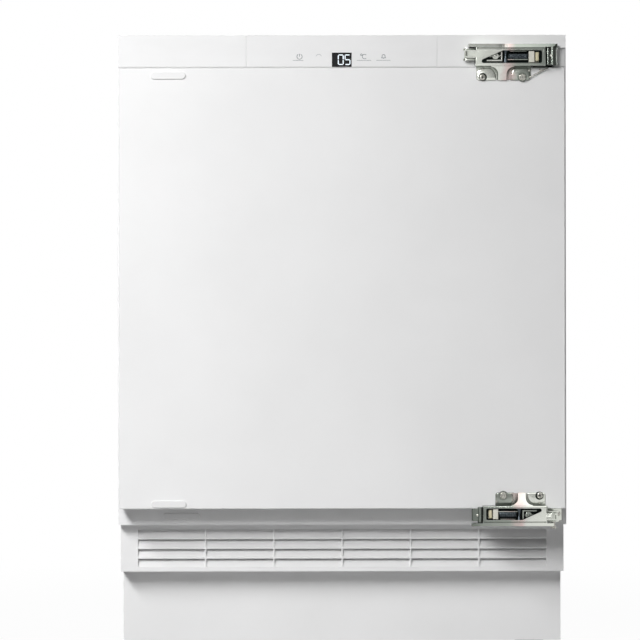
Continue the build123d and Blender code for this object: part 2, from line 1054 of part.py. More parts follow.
def mains_inlet():
    """Inlet socket on the back panel, with its three blades."""
    low = inlet_low_z
    box = block(
        inlet_x,
        inlet_x + inlet_width,
        back_panel_y,
        back_panel_y + inlet_depth,
        low,
        low + inlet_height,
    )
    x = inlet_x + inlet_width / 2
    z = low + inlet_height / 2
    face = back_panel_y + inlet_depth
    floor = face - inlet_recess_depth
    box -= block(
        x - inlet_recess_width / 2,
        x + inlet_recess_width / 2,
        floor,
        face,
        z - inlet_recess_height / 2,
        z + inlet_recess_height / 2,
    )
    half = inlet_blade_sheet / 2
    tip = floor + inlet_blade_length
    for side, rise in ((-1, -inlet_blade_step), (0, inlet_blade_step), (1, -inlet_blade_step)):
        at = x + side * inlet_blade_pitch
        foot = z + rise - inlet_blade_height / 2
        box += block(at - half, at + half, floor, tip, foot, foot + inlet_blade_height)
    return box


# Feet


def foot_places():
    """Plan positions of the four feet."""
    return [(side * foot_x, y) for y in (front_foot_y, rear_foot_y) for side in (-1, 1)]


def foot_sockets():
    """Four threaded sockets standing in the base pan."""
    sockets = []
    for x, y in foot_places():
        top = base_clearance + socket_height
        socket = rod_z(stud_r + socket_wall, x, y, base_clearance, top)
        sockets.append(socket - rod_z(stud_r + stud_play, x, y, base_clearance, top))
    return group(sockets)


def foot(x, y):
    """Adjustable foot: disc, hexagon and stud."""
    disc = rod_z(foot_disc_r, x, y, 0, foot_disc)
    disc = fillet(disc.edges().sort_by(Axis.Z)[-1], foot_disc_round)
    hexagon_top = base_clearance - touch
    hexagon = extrude(
        Plane(origin=(x, y, foot_disc)) * RegularPolygon(foot_hex / 2, 6, major_radius=False),
        amount=hexagon_top - foot_disc,
    )
    stud = rod_z(stud_r, x, y, hexagon_top, stud_top_z)
    return disc + hexagon + stud


# Hinges


def seated(shape, seat):
    """Moves a shape from the hinge's own axes to its seat."""
    if seat.turned:
        shape = Rot(0, 180, 0) * shape
    return Pos(seat.x, door_front_y, seat.z) * shape


def hinge_block(seat, along0, along1, y0, y1, up0, up1):
    """Box in the hinge's own axes, scaled along and up."""
    size = seat.size
    return block(-along1 * size, -along0 * size, y0, y1, up0 * size, up1 * size)


def hinge_prism(seat, outline, y0, y1):
    """Outline along and up, solid from y0 to y1 in the hinge's own axes."""
    return prism_y([(-along * seat.size, up * seat.size) for along, up in outline], y0, y1)


def hinge_bore(seat, r, along):
    """Upright bore through the hinge."""
    reach = (hinge_box_height + tab_drop) * 2
    return rod_z(r, -along * seat.size, -hinge_axis_out, -reach, reach)


def hinge_window(seat):
    """Opening of the front plate: sloped at the fork end, round at its corners."""
    outline = [
        (window_start, window_low),
        (window_end, window_low),
        (window_end, window_slope_low),
        (window_slope_start, window_high),
        (window_start, window_high),
    ]
    shape = hinge_prism(seat, outline, -hinge_depth, -hinge_depth + hinge_sheet)
    corners = [edge for edge in shape.edges() if abs(edge.length - hinge_sheet) < 1e-6]
    return fillet(corners, window_round * seat.size)


def hinge_tongue(seat):
    """Tongue of the front plate at the fork end, with an upright slot near its tip."""
    front = -hinge_depth
    back = front + hinge_sheet
    tongue = hinge_block(
        seat, hinge_box_end - hinge_box_round, tongue_end, front, back, tongue_low, tongue_high
    )
    slot_high = tongue_high - (tongue_end - tongue_slot_end)
    return tongue - hinge_block(
        seat, tongue_slot_start, tongue_slot_end, front, back, tongue_slot_low, slot_high
    )


def hinge_neck(seat):
    """Neck between the tabs: flared at its root, and sloped back to the door's face."""
    size = seat.size
    flare = neck_flare
    start = neck_start - flare
    end = neck_end + flare
    reach = hinge_depth
    neck = hinge_block(seat, start, end, -reach, 0, -tab_drop, neck_root_up)
    middle = tab_top - flare
    for edge, beside in ((start, neck_start), (end, neck_end)):
        neck -= rod_y(flare * size, -edge * size, -reach, 0, middle * size)
        neck -= hinge_block(seat, edge, beside, -reach, 0, -tab_drop, middle)
    root = neck_root_up * size
    foot = -tab_drop * size
    profile = [(0, root), (-neck_root_depth, root), (-neck_foot_depth, foot), (0, foot)]
    return neck & prism_x(profile, -end * size, -start * size)


def hinge_tab(seat, start, end):
    """Flat tab on the door face, round at its lower corners."""
    tab = hinge_block(seat, start, end, -hinge_sheet, 0, -tab_drop, tab_top)
    low = -tab_drop * seat.size
    corners = [
        edge
        for edge in tab.edges()
        if abs(edge.length - hinge_sheet) < 1e-6 and abs(edge.center().Z - low) < 1e-6
    ]
    return fillet(corners, tab_round * seat.size)


def beyond_turning_circle(seat):
    """What a strip that runs past the axis has to lose to clear the fascia as the door turns."""
    height = hinge_box_height * seat.size
    reach = hinge_depth
    corner = block(0, reach, -reach, reach, 0, height)
    return corner - rod_z(hinge_axis_out - touch, 0, -hinge_axis_out, 0, height)


def hinge_frame(seat):
    """Stamped frame: windowed box, barrel, fork, top strip and two screwed tabs."""
    size = seat.size
    back = -hinge_back_gap
    front = -hinge_depth
    box = hinge_block(seat, hinge_box_start, hinge_box_end, front, back, 0, hinge_box_height)
    box = fillet(front_edges(box, front), hinge_box_round)
    inset = hinge_sheet / size
    box -= hinge_block(
        seat,
        hinge_box_start + inset,
        hinge_box_end - inset,
        front + hinge_sheet,
        back - hinge_sheet,
        inset,
        hinge_box_height - inset,
    )
    box -= hinge_window(seat)
    strip = hinge_block(seat, strip_start, strip_end, front, back, strip_low, hinge_box_height)
    strip -= hinge_block(
        seat,
        hinge_box_start + inset,
        hinge_box_end - inset,
        front + hinge_sheet,
        back - hinge_sheet,
        strip_low,
        hinge_box_height - inset,
    )
    box += strip - beyond_turning_circle(seat)
    box += rod_z(barrel_r, 0, -hinge_axis_out, barrel_low * size, barrel_high * size)
    web = barrel_web / 2
    web_start = barrel_r / size - 1
    box += hinge_block(
        seat,
        web_start,
        hinge_box_start,
        -hinge_axis_out - web,
        -hinge_axis_out + web,
        barrel_low,
        barrel_high,
    )
    for low in (fork_low, fork_high):
        high = low + fork_sheet
        box += hinge_block(
            seat,
            hinge_box_end,
            fork_reach,
            -hinge_axis_out - fork_r,
            -hinge_axis_out + fork_r,
            low,
            high,
        )
        box += rod_z(fork_r, -fork_reach * size, -hinge_axis_out, low * size, high * size)
    box += hinge_tongue(seat)
    box += hinge_block(
        seat, right_tab_start, left_tab_end, -hinge_sheet, back, tab_top, inset
    )
    box += hinge_tab(seat, left_tab_start, left_tab_end)
    box += hinge_tab(seat, right_tab_start, right_tab_end)
    box += hinge_neck(seat)
    x, z = -large_screw_along * size, -large_screw_down * size
    box += rod_y(large_collar_r, x, -hinge_sheet - large_collar, -hinge_sheet, z)
    box -= rod_y(large_screw_r + screw_play, x, -hinge_depth, 0, z)
    x, z = -small_screw_along * size, -small_screw_down * size
    box -= rod_y(small_screw_r + screw_play, x, -hinge_depth, 0, z)
    box -= hinge_bore(seat, pin_r + pin_play, 0)
    box -= hinge_bore(seat, pin_r + pin_play, seat.eye_along)
    return seated(box, seat)


def hinge_screw_spots():
    """X, Z and shank radius of the four hinge screws on the door."""
    spots = []
    for seat in (upper_seat, lower_seat):
        x, z = seat.spot(small_screw_along, -small_screw_down)
        spots.append((x, z, small_screw_r))
        x, z = seat.spot(large_screw_along, -large_screw_down)
        spots.append((x, z, large_screw_r))
    return spots


def cross_recess(x, y, z):
    """Cross-shaped recess of a screw head."""
    arm = cross_length / 2
    thin = cross_arm / 2
    floor = y + cross_depth
    upright = block(x - thin, x + thin, y, floor, z - arm, z + arm)
    return upright + block(x - arm, x + arm, y, floor, z - thin, z + thin)


def hinge_screws():
    """Four screws that hold the hinges on the door."""
    screws = []
    bite = door_front_y + screw_bite
    for seat in (upper_seat, lower_seat):
        x, z = seat.spot(small_screw_along, -small_screw_down)
        under = door_front_y - hinge_sheet
        head = rod_y(small_head_r, x, under - small_head, under, z)
        head = fillet(front_edges(head, under - small_head), small_head_round)
        screw = head + rod_y(small_screw_r, x, under, bite, z)
        screws.append(screw - cross_recess(x, under - small_head, z))
        x, z = seat.spot(large_screw_along, -large_screw_down)
        under = door_front_y - hinge_sheet - large_collar
        head = rod_y(large_head_r, x, under - large_head, under, z)
        head = fillet(front_edges(head, under - large_head), large_head_round)
        floor = under - large_head + socket_depth
        head -= rod_y(socket_r, x, under - large_head, floor, z)
        screws.append(head + rod_y(large_screw_r, x, under, bite, z))
    return group(screws)


def hinge_springs():
    """Spring barrels lying behind the hinge windows."""
    y = -hinge_back_gap - hinge_sheet - spring_r
    barrels = []
    for seat in (upper_seat, lower_seat):
        x0, x1 = -spring_end * seat.size, -spring_start * seat.size
        barrel = rod_x(spring_r, x0, x1, y, spring_up * seat.size)
        rims = [edge for edge in barrel.edges() if edge.geom_type == GeomType.CIRCLE]
        barrels.append(seated(fillet(rims, spring_round), seat))
    return group(barrels)


def hinge_sliders():
    """Pale plastic sliders at the barrel end of the windows."""
    back = -hinge_back_gap - hinge_sheet
    front = -hinge_depth + hinge_sheet + touch
    middle = (slider_start + slider_end) / 2
    sliders = []
    for seat in (upper_seat, lower_seat):
        slider = hinge_block(
            seat, slider_start, slider_end, front, back, slider_low, slider_high
        )
        slider = fillet(front_edges(slider, front), slider_round)
        half = slider_slot / 2
        floor = back - slider_slot_floor
        slider -= hinge_block(
            seat, middle - half, middle + half, front, floor, slider_low, slider_high
        )
        sliders.append(seated(slider, seat))
    return group(sliders)


def hinge_pivots():
    """Waisted pivot spools between the flanges of the frames."""
    spools = []
    for seat in (upper_seat, lower_seat):
        low = hinge_sheet
        high = hinge_box_height * seat.size - hinge_sheet
        middle = (low + high) / 2
        x = -spool_along * seat.size
        waist = spool_waist / 2
        profile = [
            (0, low),
            (spool_r, low),
            (spool_r, low + spool_rim),
            (spool_waist_r, middle - waist),
            (spool_waist_r, middle + waist),
            (spool_r, high - spool_rim),
            (spool_r, high),
            (0, high),
        ]
        points = [(x + out, -hinge_axis_out, up) for out, up in profile]
        outline = make_face(Polyline(*points, close=True))
        spool = revolve(outline, Axis((x, -hinge_axis_out, 0), (0, 0, 1)))
        spools.append(seated(spool, seat))
    return group(spools)


def hinge_angle_plates():
    """Small angle plates beside the pivot spools."""
    back = -hinge_back_gap - hinge_sheet
    front = -hinge_depth + hinge_sheet + angle_setback
    plates = []
    for seat in (upper_seat, lower_seat):
        foot_end = angle_start + angle_length
        upright = hinge_block(
            seat, angle_start, angle_start + angle_sheet, front, back, angle_foot, window_high
        )
        upright += hinge_block(
            seat, angle_start, foot_end, front, back, angle_foot - angle_sheet, angle_foot
        )
        plates.append(seated(upright, seat))
    return group(plates)


def hinge_rivets():
    """Rivets in the barrel of the lower hinge and in the fork of the upper one."""
    x, z = lower_seat.x, lower_seat.z
    size = lower_seat.size
    lower = rod_z(pin_r, x, hinge_axis_y, z - barrel_high * size, z - barrel_low * size)
    x, _ = upper_seat.spot(fork_reach, 0)
    size = upper_seat.size
    low = upper_seat.z + fork_low * size
    high = upper_seat.z + (fork_high + fork_sheet) * size
    upper = rod_z(pin_r, x, hinge_axis_y, low, high)
    return group([lower, upper])


def upper_knuckle():
    """Lowest and highest Z of the ears below and above the upper barrel."""
    size = upper_seat.size
    low = upper_seat.z + barrel_low * size - touch - ear_sheet
    return low, upper_seat.z + strip_low * size - touch


def lower_knuckle():
    """Lowest and highest Z of the arm between the prongs of the lower fork."""
    size = lower_seat.size
    high = lower_seat.z - (fork_low + fork_sheet) * size - touch
    low = lower_seat.z - fork_high * size + touch
    return low, high


def upper_hinge_bracket():
    """Cabinet bracket in the fascia notch, with an ear above and below the barrel."""
    ear_low, ear_high = upper_knuckle()
    notch_top = fascia_bottom_z + notch_height - touch
    web_end = bracket_web_x + bracket_sheet
    forward = door_front_y - hinge_back_gap
    foot_y = frame_y - bracket_sheet
    web = block(bracket_web_x, web_end, forward, frame_y, ear_low, notch_top)
    web += block(bracket_foot_x, web_end, foot_y, frame_y, ear_low, notch_top)
    tail = forward + bracket_sheet
    ears = (
        (ear_low, ear_low + ear_sheet),
        (ear_high - upper_ear_sheet, ear_high),
    )
    for low, high in ears:
        web += rod_z(bracket_eye_r, hinge_axis_x, hinge_axis_y, low, high)
        web += block(hinge_axis_x, web_end, hinge_axis_y, tail, low, high)
    web -= rod_z(pin_r, hinge_axis_x, hinge_axis_y, ear_low, ear_high)
    for x, z in upper_bracket_screws():
        web -= rod_y(bracket_screw_r, x, foot_y, frame_y, z)
    return web


def upper_bracket_screws():
    """X and Z of the screws in the upper bracket's foot."""
    x = bracket_foot_x + bracket_screw_side
    middle = fascia_bottom_z + notch_height / 2
    return [(x, middle - bracket_screw_rise), (x, middle + bracket_screw_rise)]


def lower_hinge_bracket():
    """Cabinet arm from the lower rail forward to the pin in the lower fork."""
    low, high = lower_knuckle()
    half = arm_width / 2
    arm = rod_z(arm_eye_r, hinge_axis_x, hinge_axis_y, low, high)
    arm += block(
        hinge_axis_x - half, hinge_axis_x + half, hinge_axis_y, frame_y, low, high
    )
    foot_half = arm_foot_width / 2
    middle = (low + high) / 2
    rise = arm_foot_height / 2
    arm += block(
        hinge_axis_x - foot_half,
        hinge_axis_x + foot_half,
        frame_y - bracket_sheet,
        frame_y,
        middle - rise,
        middle + rise,
    )
    arm -= rod_z(pin_r, hinge_axis_x, hinge_axis_y, low, high)
    for x, z in lower_bracket_screws():
        arm -= rod_y(bracket_screw_r, x, frame_y - bracket_sheet, frame_y, z)
    return arm


def lower_bracket_screws():
    """X and Z of the screws in the lower bracket's foot."""
    low, high = lower_knuckle()
    reach = arm_foot_width / 2 - arm_screw_inset
    z = (low + high) / 2
    return [(hinge_axis_x - reach, z), (hinge_axis_x + reach, z)]


def bracket_screws():
    """Screws that hold both brackets on the cabinet's face."""
    screws = []
    under = frame_y - bracket_sheet
    for x, z in upper_bracket_screws() + lower_bracket_screws():
        screw = rod_y(bracket_screw_head_r, x, under - bracket_screw_head, under, z)
        screws.append(screw + rod_y(bracket_screw_r, x, under, frame_y, z))
    return group(screws)


def hinge_pins():
    """Pins of the door: one in the upper bracket, and a headed one in the lower arm."""
    low, high = upper_knuckle()
    upper = rod_z(pin_r, hinge_axis_x, hinge_axis_y, low, high)
    size = lower_seat.size
    high = lower_seat.z - fork_low * size
    low = lower_seat.z - hinge_box_height * size - touch
    lower = rod_z(pin_r, hinge_axis_x, hinge_axis_y, low, high)
    lower += rod_z(pin_head_r, hinge_axis_x, hinge_axis_y, low - pin_head, low)
    return group([upper, lower])


# Door


def door_holes():
    """Bores for the hinge screws in the door."""
    end = door_front_y + screw_bite
    return [rod_y(r, x, door_front_y, end, z) for x, z, r in hinge_screw_spots()]


def door_panel():
    """Folded steel front of the door with its four returns."""
    liner_y = door_back_y - door_liner_sheet
    shape = block(-door_half, door_half, door_front_y, liner_y, door_bottom_z, door_top_z)
    shape = fillet(front_edges(shape, door_front_y), door_edge)
    hollow = block(
        -door_half + door_sheet,
        door_half - door_sheet,
        door_front_y + door_sheet,
        liner_y,
        door_bottom_z + door_sheet,
        door_top_z - door_sheet,
    )
    hollow = fillet(front_edges(hollow, door_front_y + door_sheet), door_edge - door_sheet)
    shape -= hollow
    for hole in door_holes():
        shape -= hole
    return shape


def raised_panel(inset):
    """Raised field on the back of the door, drawn in by a wall."""
    half = cavity_half - dyke_side_play - inset
    shape = block(
        -half,
        half,
        door_back_y - door_liner_sheet,
        door_back_y + dyke_depth - inset,
        cavity_floor_z + dyke_low_play + inset,
        cavity_top_z - dyke_top_play - inset,
    )
    base = door_back_y - door_liner_sheet
    edges = [edge for edge in shape.edges() if abs(edge.center().Y - base) > 1e-6]
    return fillet(edges, dyke_round - inset)


def door_foam():
    """Foam core of the door."""
    foam = block(
        -door_half + door_sheet,
        door_half - door_sheet,
        door_front_y + door_sheet,
        door_back_y - door_liner_sheet,
        door_bottom_z + door_sheet,
        door_top_z - door_sheet,
    )
    foam = fillet(front_edges(foam, door_front_y + door_sheet), door_edge - door_sheet)
    foam += raised_panel(door_liner_sheet)
    for hole in door_holes():
        foam -= hole
    return foam


def door_inner_liner():
    """Moulded back of the door with its raised field."""
    liner = block(
        -door_half,
        door_half,
        door_back_y - door_liner_sheet,
        door_back_y,
        door_bottom_z,
        door_top_z,
    )
    return liner + raised_panel(0) - raised_panel(door_liner_sheet)


def ring(half, low, high, width, y0, y1):
    """Rectangular ring of the given width between two planes of Y."""
    outer = block(-half, half, y0, y1, low, high)
    return outer - block(-half + width, half - width, y0, y1, low + width, high - width)


def door_gasket():
    """Magnetic gasket round the back of the door."""
    half = door_half - gasket_inset_x
    low = door_bottom_z + gasket_inset_z
    high = door_top_z - gasket_inset_z
    base = ring(half, low, high, gasket_width, door_back_y, door_back_y + gasket_base)
    side = (gasket_width - gasket_bulb) / 2
    bulb = ring(
        half - side,
        low + side,
        high - side,
        gasket_bulb,
        door_back_y + gasket_base,
        frame_y - touch,
    )
    return base + bulb


def door_cover_caps():
    """Two caps at the left of the door face."""
    left = -door_half + door_cap_inset
    caps = [
        cover_cap(left, low, door_cap_length, door_cap_height, door_front_y)
        for low in (door_top_z - upper_cap_down, door_bottom_z + lower_cap_up)
    ]
    return group(caps)


# Drawers


def drawer_low(level):
    """Height of the underside of a drawer."""
    return shelf_top(level) + touch


def drawer_back(level):
    """Y of the back of a drawer's tub."""
    if level == 0:
        return step_front_y - short_drawer_back_clearance
    return cavity_back_y - drawer_back_clearance


def rounded_block(half, front, back, low, high, radius):
    """Block with round upright edges."""
    shape = block(-half, half, front, back, low, high)
    return fillet(shape.edges().filter_by(Axis.Z), radius)


def drawer_tub(level):
    """Open tub with a turned-out lip and a lowered front wall."""
    low = drawer_low(level)
    high = low + drawer_height
    half = drawer_half
    back = drawer_back(level)
    tub = rounded_block(half, tub_front_y, back, low, high, drawer_round)
    lip = block(
        -half - drawer_lip,
        half + drawer_lip,
        tub_front_y + drawer_round,
        back - drawer_round,
        high - drawer_lip_sheet,
        high,
    )
    tub += lip
    tub -= rounded_block(
        half - drawer_wall,
        tub_front_y + drawer_wall,
        back - drawer_wall,
        low + drawer_wall,
        high,
        drawer_round - drawer_wall,
    )
    cut_half = half - tub_front_cut_side
    tub -= block(
        -cut_half, cut_half, tub_front_y, tub_front_y + drawer_wall, high - tub_front_cut, high
    )
    return tub


def drawer_front(level):
    """Front plate with a finger slot under a grip lip."""
    low = drawer_low(level)
    high = low + drawer_height
    half = drawer_front_half
    plate = block(-half, half, drawer_front_y, tub_front_y, low, high)
    plate = fillet(plate.edges().filter_by(Axis.Y), drawer_front_round)
    slot_top = high - grip_down
    slot_half = grip_width / 2
    slot = block(
        -slot_half, slot_half, drawer_front_y, tub_front_y, slot_top - grip_height, slot_top
    )
    plate -= fillet(slot.edges().filter_by(Axis.Y), grip_round)
    plate += block(
        -slot_half,
        slot_half,
        drawer_front_y - grip_lip,
        drawer_front_y,
        slot_top,
        slot_top + grip_lip_height,
    )
    return plate


NODES = {
    "side_panel_left": lambda: side_panel(-1),
    "side_panel_right": lambda: side_panel(1),
    "top_panel": top_panel,
    "back_panel": back_panel,
    "base_pan": base_pan,
    "upper_front_rail": upper_front_rail,
    "lower_front_rail": lower_front_rail,
    "insulation_foam": insulation_foam,
    "inner_liner": inner_liner,
    "fascia_left": fascia_left,
    "control_panel": control_panel,
    "fascia_right": fascia_right,
    "display_window": display_window,
    "control_board": control_board,
    "vent_grille": vent_grille,
    "plinth_panel": plinth_panel,
    "rail_cover_cap": rail_cover_cap,
    "temperature_sensor": temperature_sensor,
    "evaporator_shelf_lower": lambda: evaporator_shelf(1),
    "evaporator_shelf_upper": lambda: evaporator_shelf(2),
    "compressor": compressor,
    "compressor_grommets": compressor_grommets,
    "starter_box": starter_box,
    "drip_tray": drip_tray,
    "condenser_tube": condenser_tube,
    "condenser_wires": condenser_wires,
    "condenser_clips": condenser_clips,
    "discharge_pipe": discharge_pipe,
    "suction_pipe": suction_pipe,
    "filter_drier": filter_drier,
    "capillary_tube": capillary_tube,
    "mains_inlet": mains_inlet,
    "foot_sockets": foot_sockets,
    "upper_hinge_bracket": upper_hinge_bracket,
    "lower_hinge_bracket": lower_hinge_bracket,
    "bracket_screws": bracket_screws,
    "hinge_pins": hinge_pins,
    "door_panel": door_panel,
    "door_foam": door_foam,
    "door_inner_liner": door_inner_liner,
    "door_gasket": door_gasket,
    "door_cover_caps": door_cover_caps,
    "upper_hinge_frame": lambda: hinge_frame(upper_seat),
    "lower_hinge_frame": lambda: hinge_frame(lower_seat),
    "hinge_screws": hinge_screws,
    "hinge_springs": hinge_springs,
    "hinge_sliders": hinge_sliders,
    "hinge_pivots": hinge_pivots,
    "hinge_angle_plates": hinge_angle_plates,
    "hinge_rivets": hinge_rivets,
    "drawer_tub_lower": lambda: drawer_tub(0),
    "drawer_tub_middle": lambda: drawer_tub(1),
    "drawer_tub_upper": lambda: drawer_tub(2),
    "drawer_front_lower": lambda: drawer_front(0),
    "drawer_front_middle": lambda: drawer_front(1),
    "drawer_front_upper": lambda: drawer_front(2),
}
for foot_name, (foot_at_x, foot_at_y) in zip(
    ("foot_front_left", "foot_front_right", "foot_rear_left", "foot_rear_right"), foot_places()
):
    NODES[foot_name] = lambda x=foot_at_x, y=foot_at_y: foot(x, y)

os.makedirs("parts", exist_ok=True)
for node_name, make in NODES.items():
    export_step(make(), os.path.join("parts", node_name + ".step"))
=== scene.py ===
import json
import logging
import math
from dataclasses import dataclass
from enum import Enum

import bmesh
import bpy
from mathutils import Matrix, Quaternion, Vector


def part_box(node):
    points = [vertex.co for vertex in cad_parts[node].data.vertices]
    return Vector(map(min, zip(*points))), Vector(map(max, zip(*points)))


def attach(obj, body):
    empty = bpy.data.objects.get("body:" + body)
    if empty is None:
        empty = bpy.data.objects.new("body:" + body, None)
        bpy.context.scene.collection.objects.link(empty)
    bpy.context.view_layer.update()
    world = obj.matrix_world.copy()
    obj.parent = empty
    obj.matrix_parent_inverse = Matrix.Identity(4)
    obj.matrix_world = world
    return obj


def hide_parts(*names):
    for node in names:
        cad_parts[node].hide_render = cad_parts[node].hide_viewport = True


# Looks of the integrated undercounter freezer: finishes, fine pieces, lights and camera.
# Sizes of pieces are in millimetres and become metres where a mesh is made.

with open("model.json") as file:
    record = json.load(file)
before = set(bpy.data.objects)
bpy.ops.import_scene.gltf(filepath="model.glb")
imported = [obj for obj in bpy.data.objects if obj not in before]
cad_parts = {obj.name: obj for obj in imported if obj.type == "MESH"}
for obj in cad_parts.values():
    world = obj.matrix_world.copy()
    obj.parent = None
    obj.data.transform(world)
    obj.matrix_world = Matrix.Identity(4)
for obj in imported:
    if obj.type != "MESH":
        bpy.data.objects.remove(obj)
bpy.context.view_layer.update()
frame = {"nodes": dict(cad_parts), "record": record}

MM = 0.001
LOG = logging.getLogger("freezer")
SMOOTH_ANGLE = 30.0
FLAT_ANGLE = 0.6
WELD = 0.002
AXIS_R = 0.05
OUTWARD = (0, -1, 0)
UPWARD = (0, 0, 1)
Point = tuple[float, float, float]
Flat = tuple[float, float]
Block = tuple[Point, Point]
Tree = bpy.types.NodeTree
Socket = bpy.types.NodeSocket
Node = bpy.types.Node
UNSTRETCHED = (1.0, 1.0, 1.0)


class Body(Enum):
    """CAD bodies that pieces ride on."""

    CABINET = "cabinet"
    DOOR = "door"
    LOWER_DRAWER = "lower_drawer"
    MIDDLE_DRAWER = "middle_drawer"
    UPPER_DRAWER = "upper_drawer"
    FRONT_LEFT_FOOT = "front_left_foot"
    FRONT_RIGHT_FOOT = "front_right_foot"
    REAR_LEFT_FOOT = "rear_left_foot"
    REAR_RIGHT_FOOT = "rear_right_foot"


def linear(hex_colour: str) -> tuple[float, float, float, float]:
    """Turns an sRGB hex colour to linear.

    Args:
        hex_colour: Colour as "#rrggbb".

    Returns:
        Linear red, green, blue and an alpha of 1.
    """
    parts = [int(hex_colour[i : i + 2], 16) / 255 for i in (1, 3, 5)]
    red, green, blue = (c / 12.92 if c <= 0.04045 else ((c + 0.055) / 1.055) ** 2.4 for c in parts)
    return red, green, blue, 1.0


def per_mm(size: float) -> float:
    """Texture scale at which one feature of a pattern has this size in millimetres."""
    return 1.0 / (size * MM)


def add_node(tree: Tree, kind: str, inputs: dict | None = None, **settings) -> Node:
    """Adds a shader node with its settings and links.

    Args:
        tree: Node tree of the material.
        kind: Blender's name of the node type.
        inputs: Input name or number, to a value or to an output socket that feeds it.
        **settings: Properties of the node itself.

    Returns:
        The new node.
    """
    node = tree.nodes.new(kind)
    for name, value in settings.items():
        setattr(node, name, value)
    for name, value in (inputs or {}).items():
        if isinstance(value, Socket):
            tree.links.new(value, node.inputs[name])
        else:
            node.inputs[name].default_value = value
    return node


def object_point(tree: Tree, stretch: Point = UNSTRETCHED) -> Socket:
    """Point on the object in metres, stretched along its axes.

    Args:
        tree: Node tree of the material.
        stretch: Factor along X, Y and Z.

    Returns:
        Vector socket for a texture.
    """
    place = add_node(tree, "ShaderNodeTexCoord").outputs["Object"]
    if stretch == UNSTRETCHED:
        return place
    mapping = add_node(tree, "ShaderNodeMapping", {"Vector": place, "Scale": stretch})
    return mapping.outputs["Vector"]


def noise(tree: Tree, size: float, detail: float = 2.0, stretch: Point = UNSTRETCHED) -> Socket:
    """Soft noise whose features have a real size.

    Args:
        tree: Node tree of the material.
        size: Size of one feature in millimetres.
        detail: Octaves of finer noise.
        stretch: Factor along X, Y and Z.

    Returns:
        Value socket from 0 to 1.
    """
    inputs = {"Vector": object_point(tree, stretch), "Scale": per_mm(size), "Detail": detail}
    return add_node(tree, "ShaderNodeTexNoise", inputs).outputs["Fac"]


def ramp(tree: Tree, value: Socket, stops: list[tuple[float, str]]) -> Socket:
    """Colours along a value.

    Args:
        tree: Node tree of the material.
        value: Socket from 0 to 1.
        stops: Position and sRGB hex colour of each stop, in order.

    Returns:
        Colour socket.
    """
    node = add_node(tree, "ShaderNodeValToRGB", {"Fac": value})
    elements = node.color_ramp.elements
    while len(elements) < len(stops):
        elements.new(0.5)
    for element, (position, colour) in zip(elements, stops):
        element.position = position
        element.color = linear(colour)
    return node.outputs["Color"]


def spread(tree: Tree, value: Socket, low: float, high: float) -> Socket:
    """Maps a value from 0..1 to low..high.

    Args:
        tree: Node tree of the material.
        value: Socket from 0 to 1.
        low: Result at 0.
        high: Result at 1.

    Returns:
        Value socket.
    """
    node = add_node(tree, "ShaderNodeMapRange", {"Value": value, "To Min": low, "To Max": high})
    return node.outputs["Result"]


def relief(tree: Tree, shader: Node, height: Socket, depth: float) -> None:
    """Feeds a height from 0 to 1 to the shader's normal; its full depth is in millimetres."""
    bump = add_node(tree, "ShaderNodeBump", {"Height": height, "Distance": depth * MM})
    tree.links.new(bump.outputs["Normal"], shader.inputs["Normal"])


@dataclass(frozen=True)
class Finish:
    """One real material and how its surface was made."""

    title: str
    colour: str
    roughness: float = 0.5
    metallic: float = 0.0

    def dress(self, tree: Tree, shader: Node) -> None:
        """Adds the pattern of the surface to its Principled shader; a plain finish has none."""

    def tone(self, tree: Tree, shader: Node, value: Socket, *stops: tuple[float, str]) -> None:
        """Feeds colours along a value to the base colour; a stop is a position and a colour."""
        tree.links.new(ramp(tree, value, list(stops)), shader.inputs["Base Color"])

    def gloss(self, tree: Tree, shader: Node, value: Socket, under: float, over: float) -> None:
        """Lets the roughness vary, from so much under its mean to so much over it."""
        rough = spread(tree, value, self.roughness - under, self.roughness + over)
        tree.links.new(rough, shader.inputs["Roughness"])

    def material(self) -> bpy.types.Material:
        """Makes the material once, and returns the same one after that."""
        found = bpy.data.materials.get(self.title)
        if found:
            return found
        made = bpy.data.materials.new(self.title)
        made.use_nodes = True
        shader = made.node_tree.nodes["Principled BSDF"]
        shader.inputs["Base Color"].default_value = linear(self.colour)
        shader.inputs["Roughness"].default_value = self.roughness
        shader.inputs["Metallic"].default_value = self.metallic
        self.dress(made.node_tree, shader)
        return made


@dataclass(frozen=True)
class PowderCoat(Finish):
    """Sheet steel with a sprayed and baked polyester coat: a satin skin with faint orange peel."""

    peel: float = 2.4
    shade: str = "#ececec"

    def dress(self, tree: Tree, shader: Node) -> None:
        """Orange peel a little coarser than the real 1 mm, so that it shows, and slow tone drift."""
        self.tone(tree, shader, noise(tree, 160.0, 3.0), (0.3, self.shade), (0.7, self.colour))
        self.gloss(tree, shader, noise(tree, 14.0, 3.0), 0.05, 0.06)
        shader.inputs["Coat Weight"].default_value = 0.15
        shader.inputs["Coat Roughness"].default_value = 0.25
        relief(tree, shader, noise(tree, self.peel, 2.0), 0.02)


@dataclass(frozen=True)
class MouldedPlastic(Finish):
    """Injection-moulded ABS: a fine spark-eroded grain and a soft sheen."""

    shade: str = "#ececec"
    grain: float = 0.7
    grain_depth: float = 0.012

    def dress(self, tree: Tree, shader: Node) -> None:
        """Grain drawn at 0.7 mm instead of 0.3 mm, so that it shows, over faint flow marks."""
        flow = noise(tree, 70.0, 2.0, (1.0, 1.0, 3.0))
        self.tone(tree, shader, flow, (0.25, self.shade), (0.75, self.colour))
        fine = noise(tree, self.grain, 3.0)
        self.gloss(tree, shader, fine, 0.06, 0.06)
        relief(tree, shader, fine, self.grain_depth)


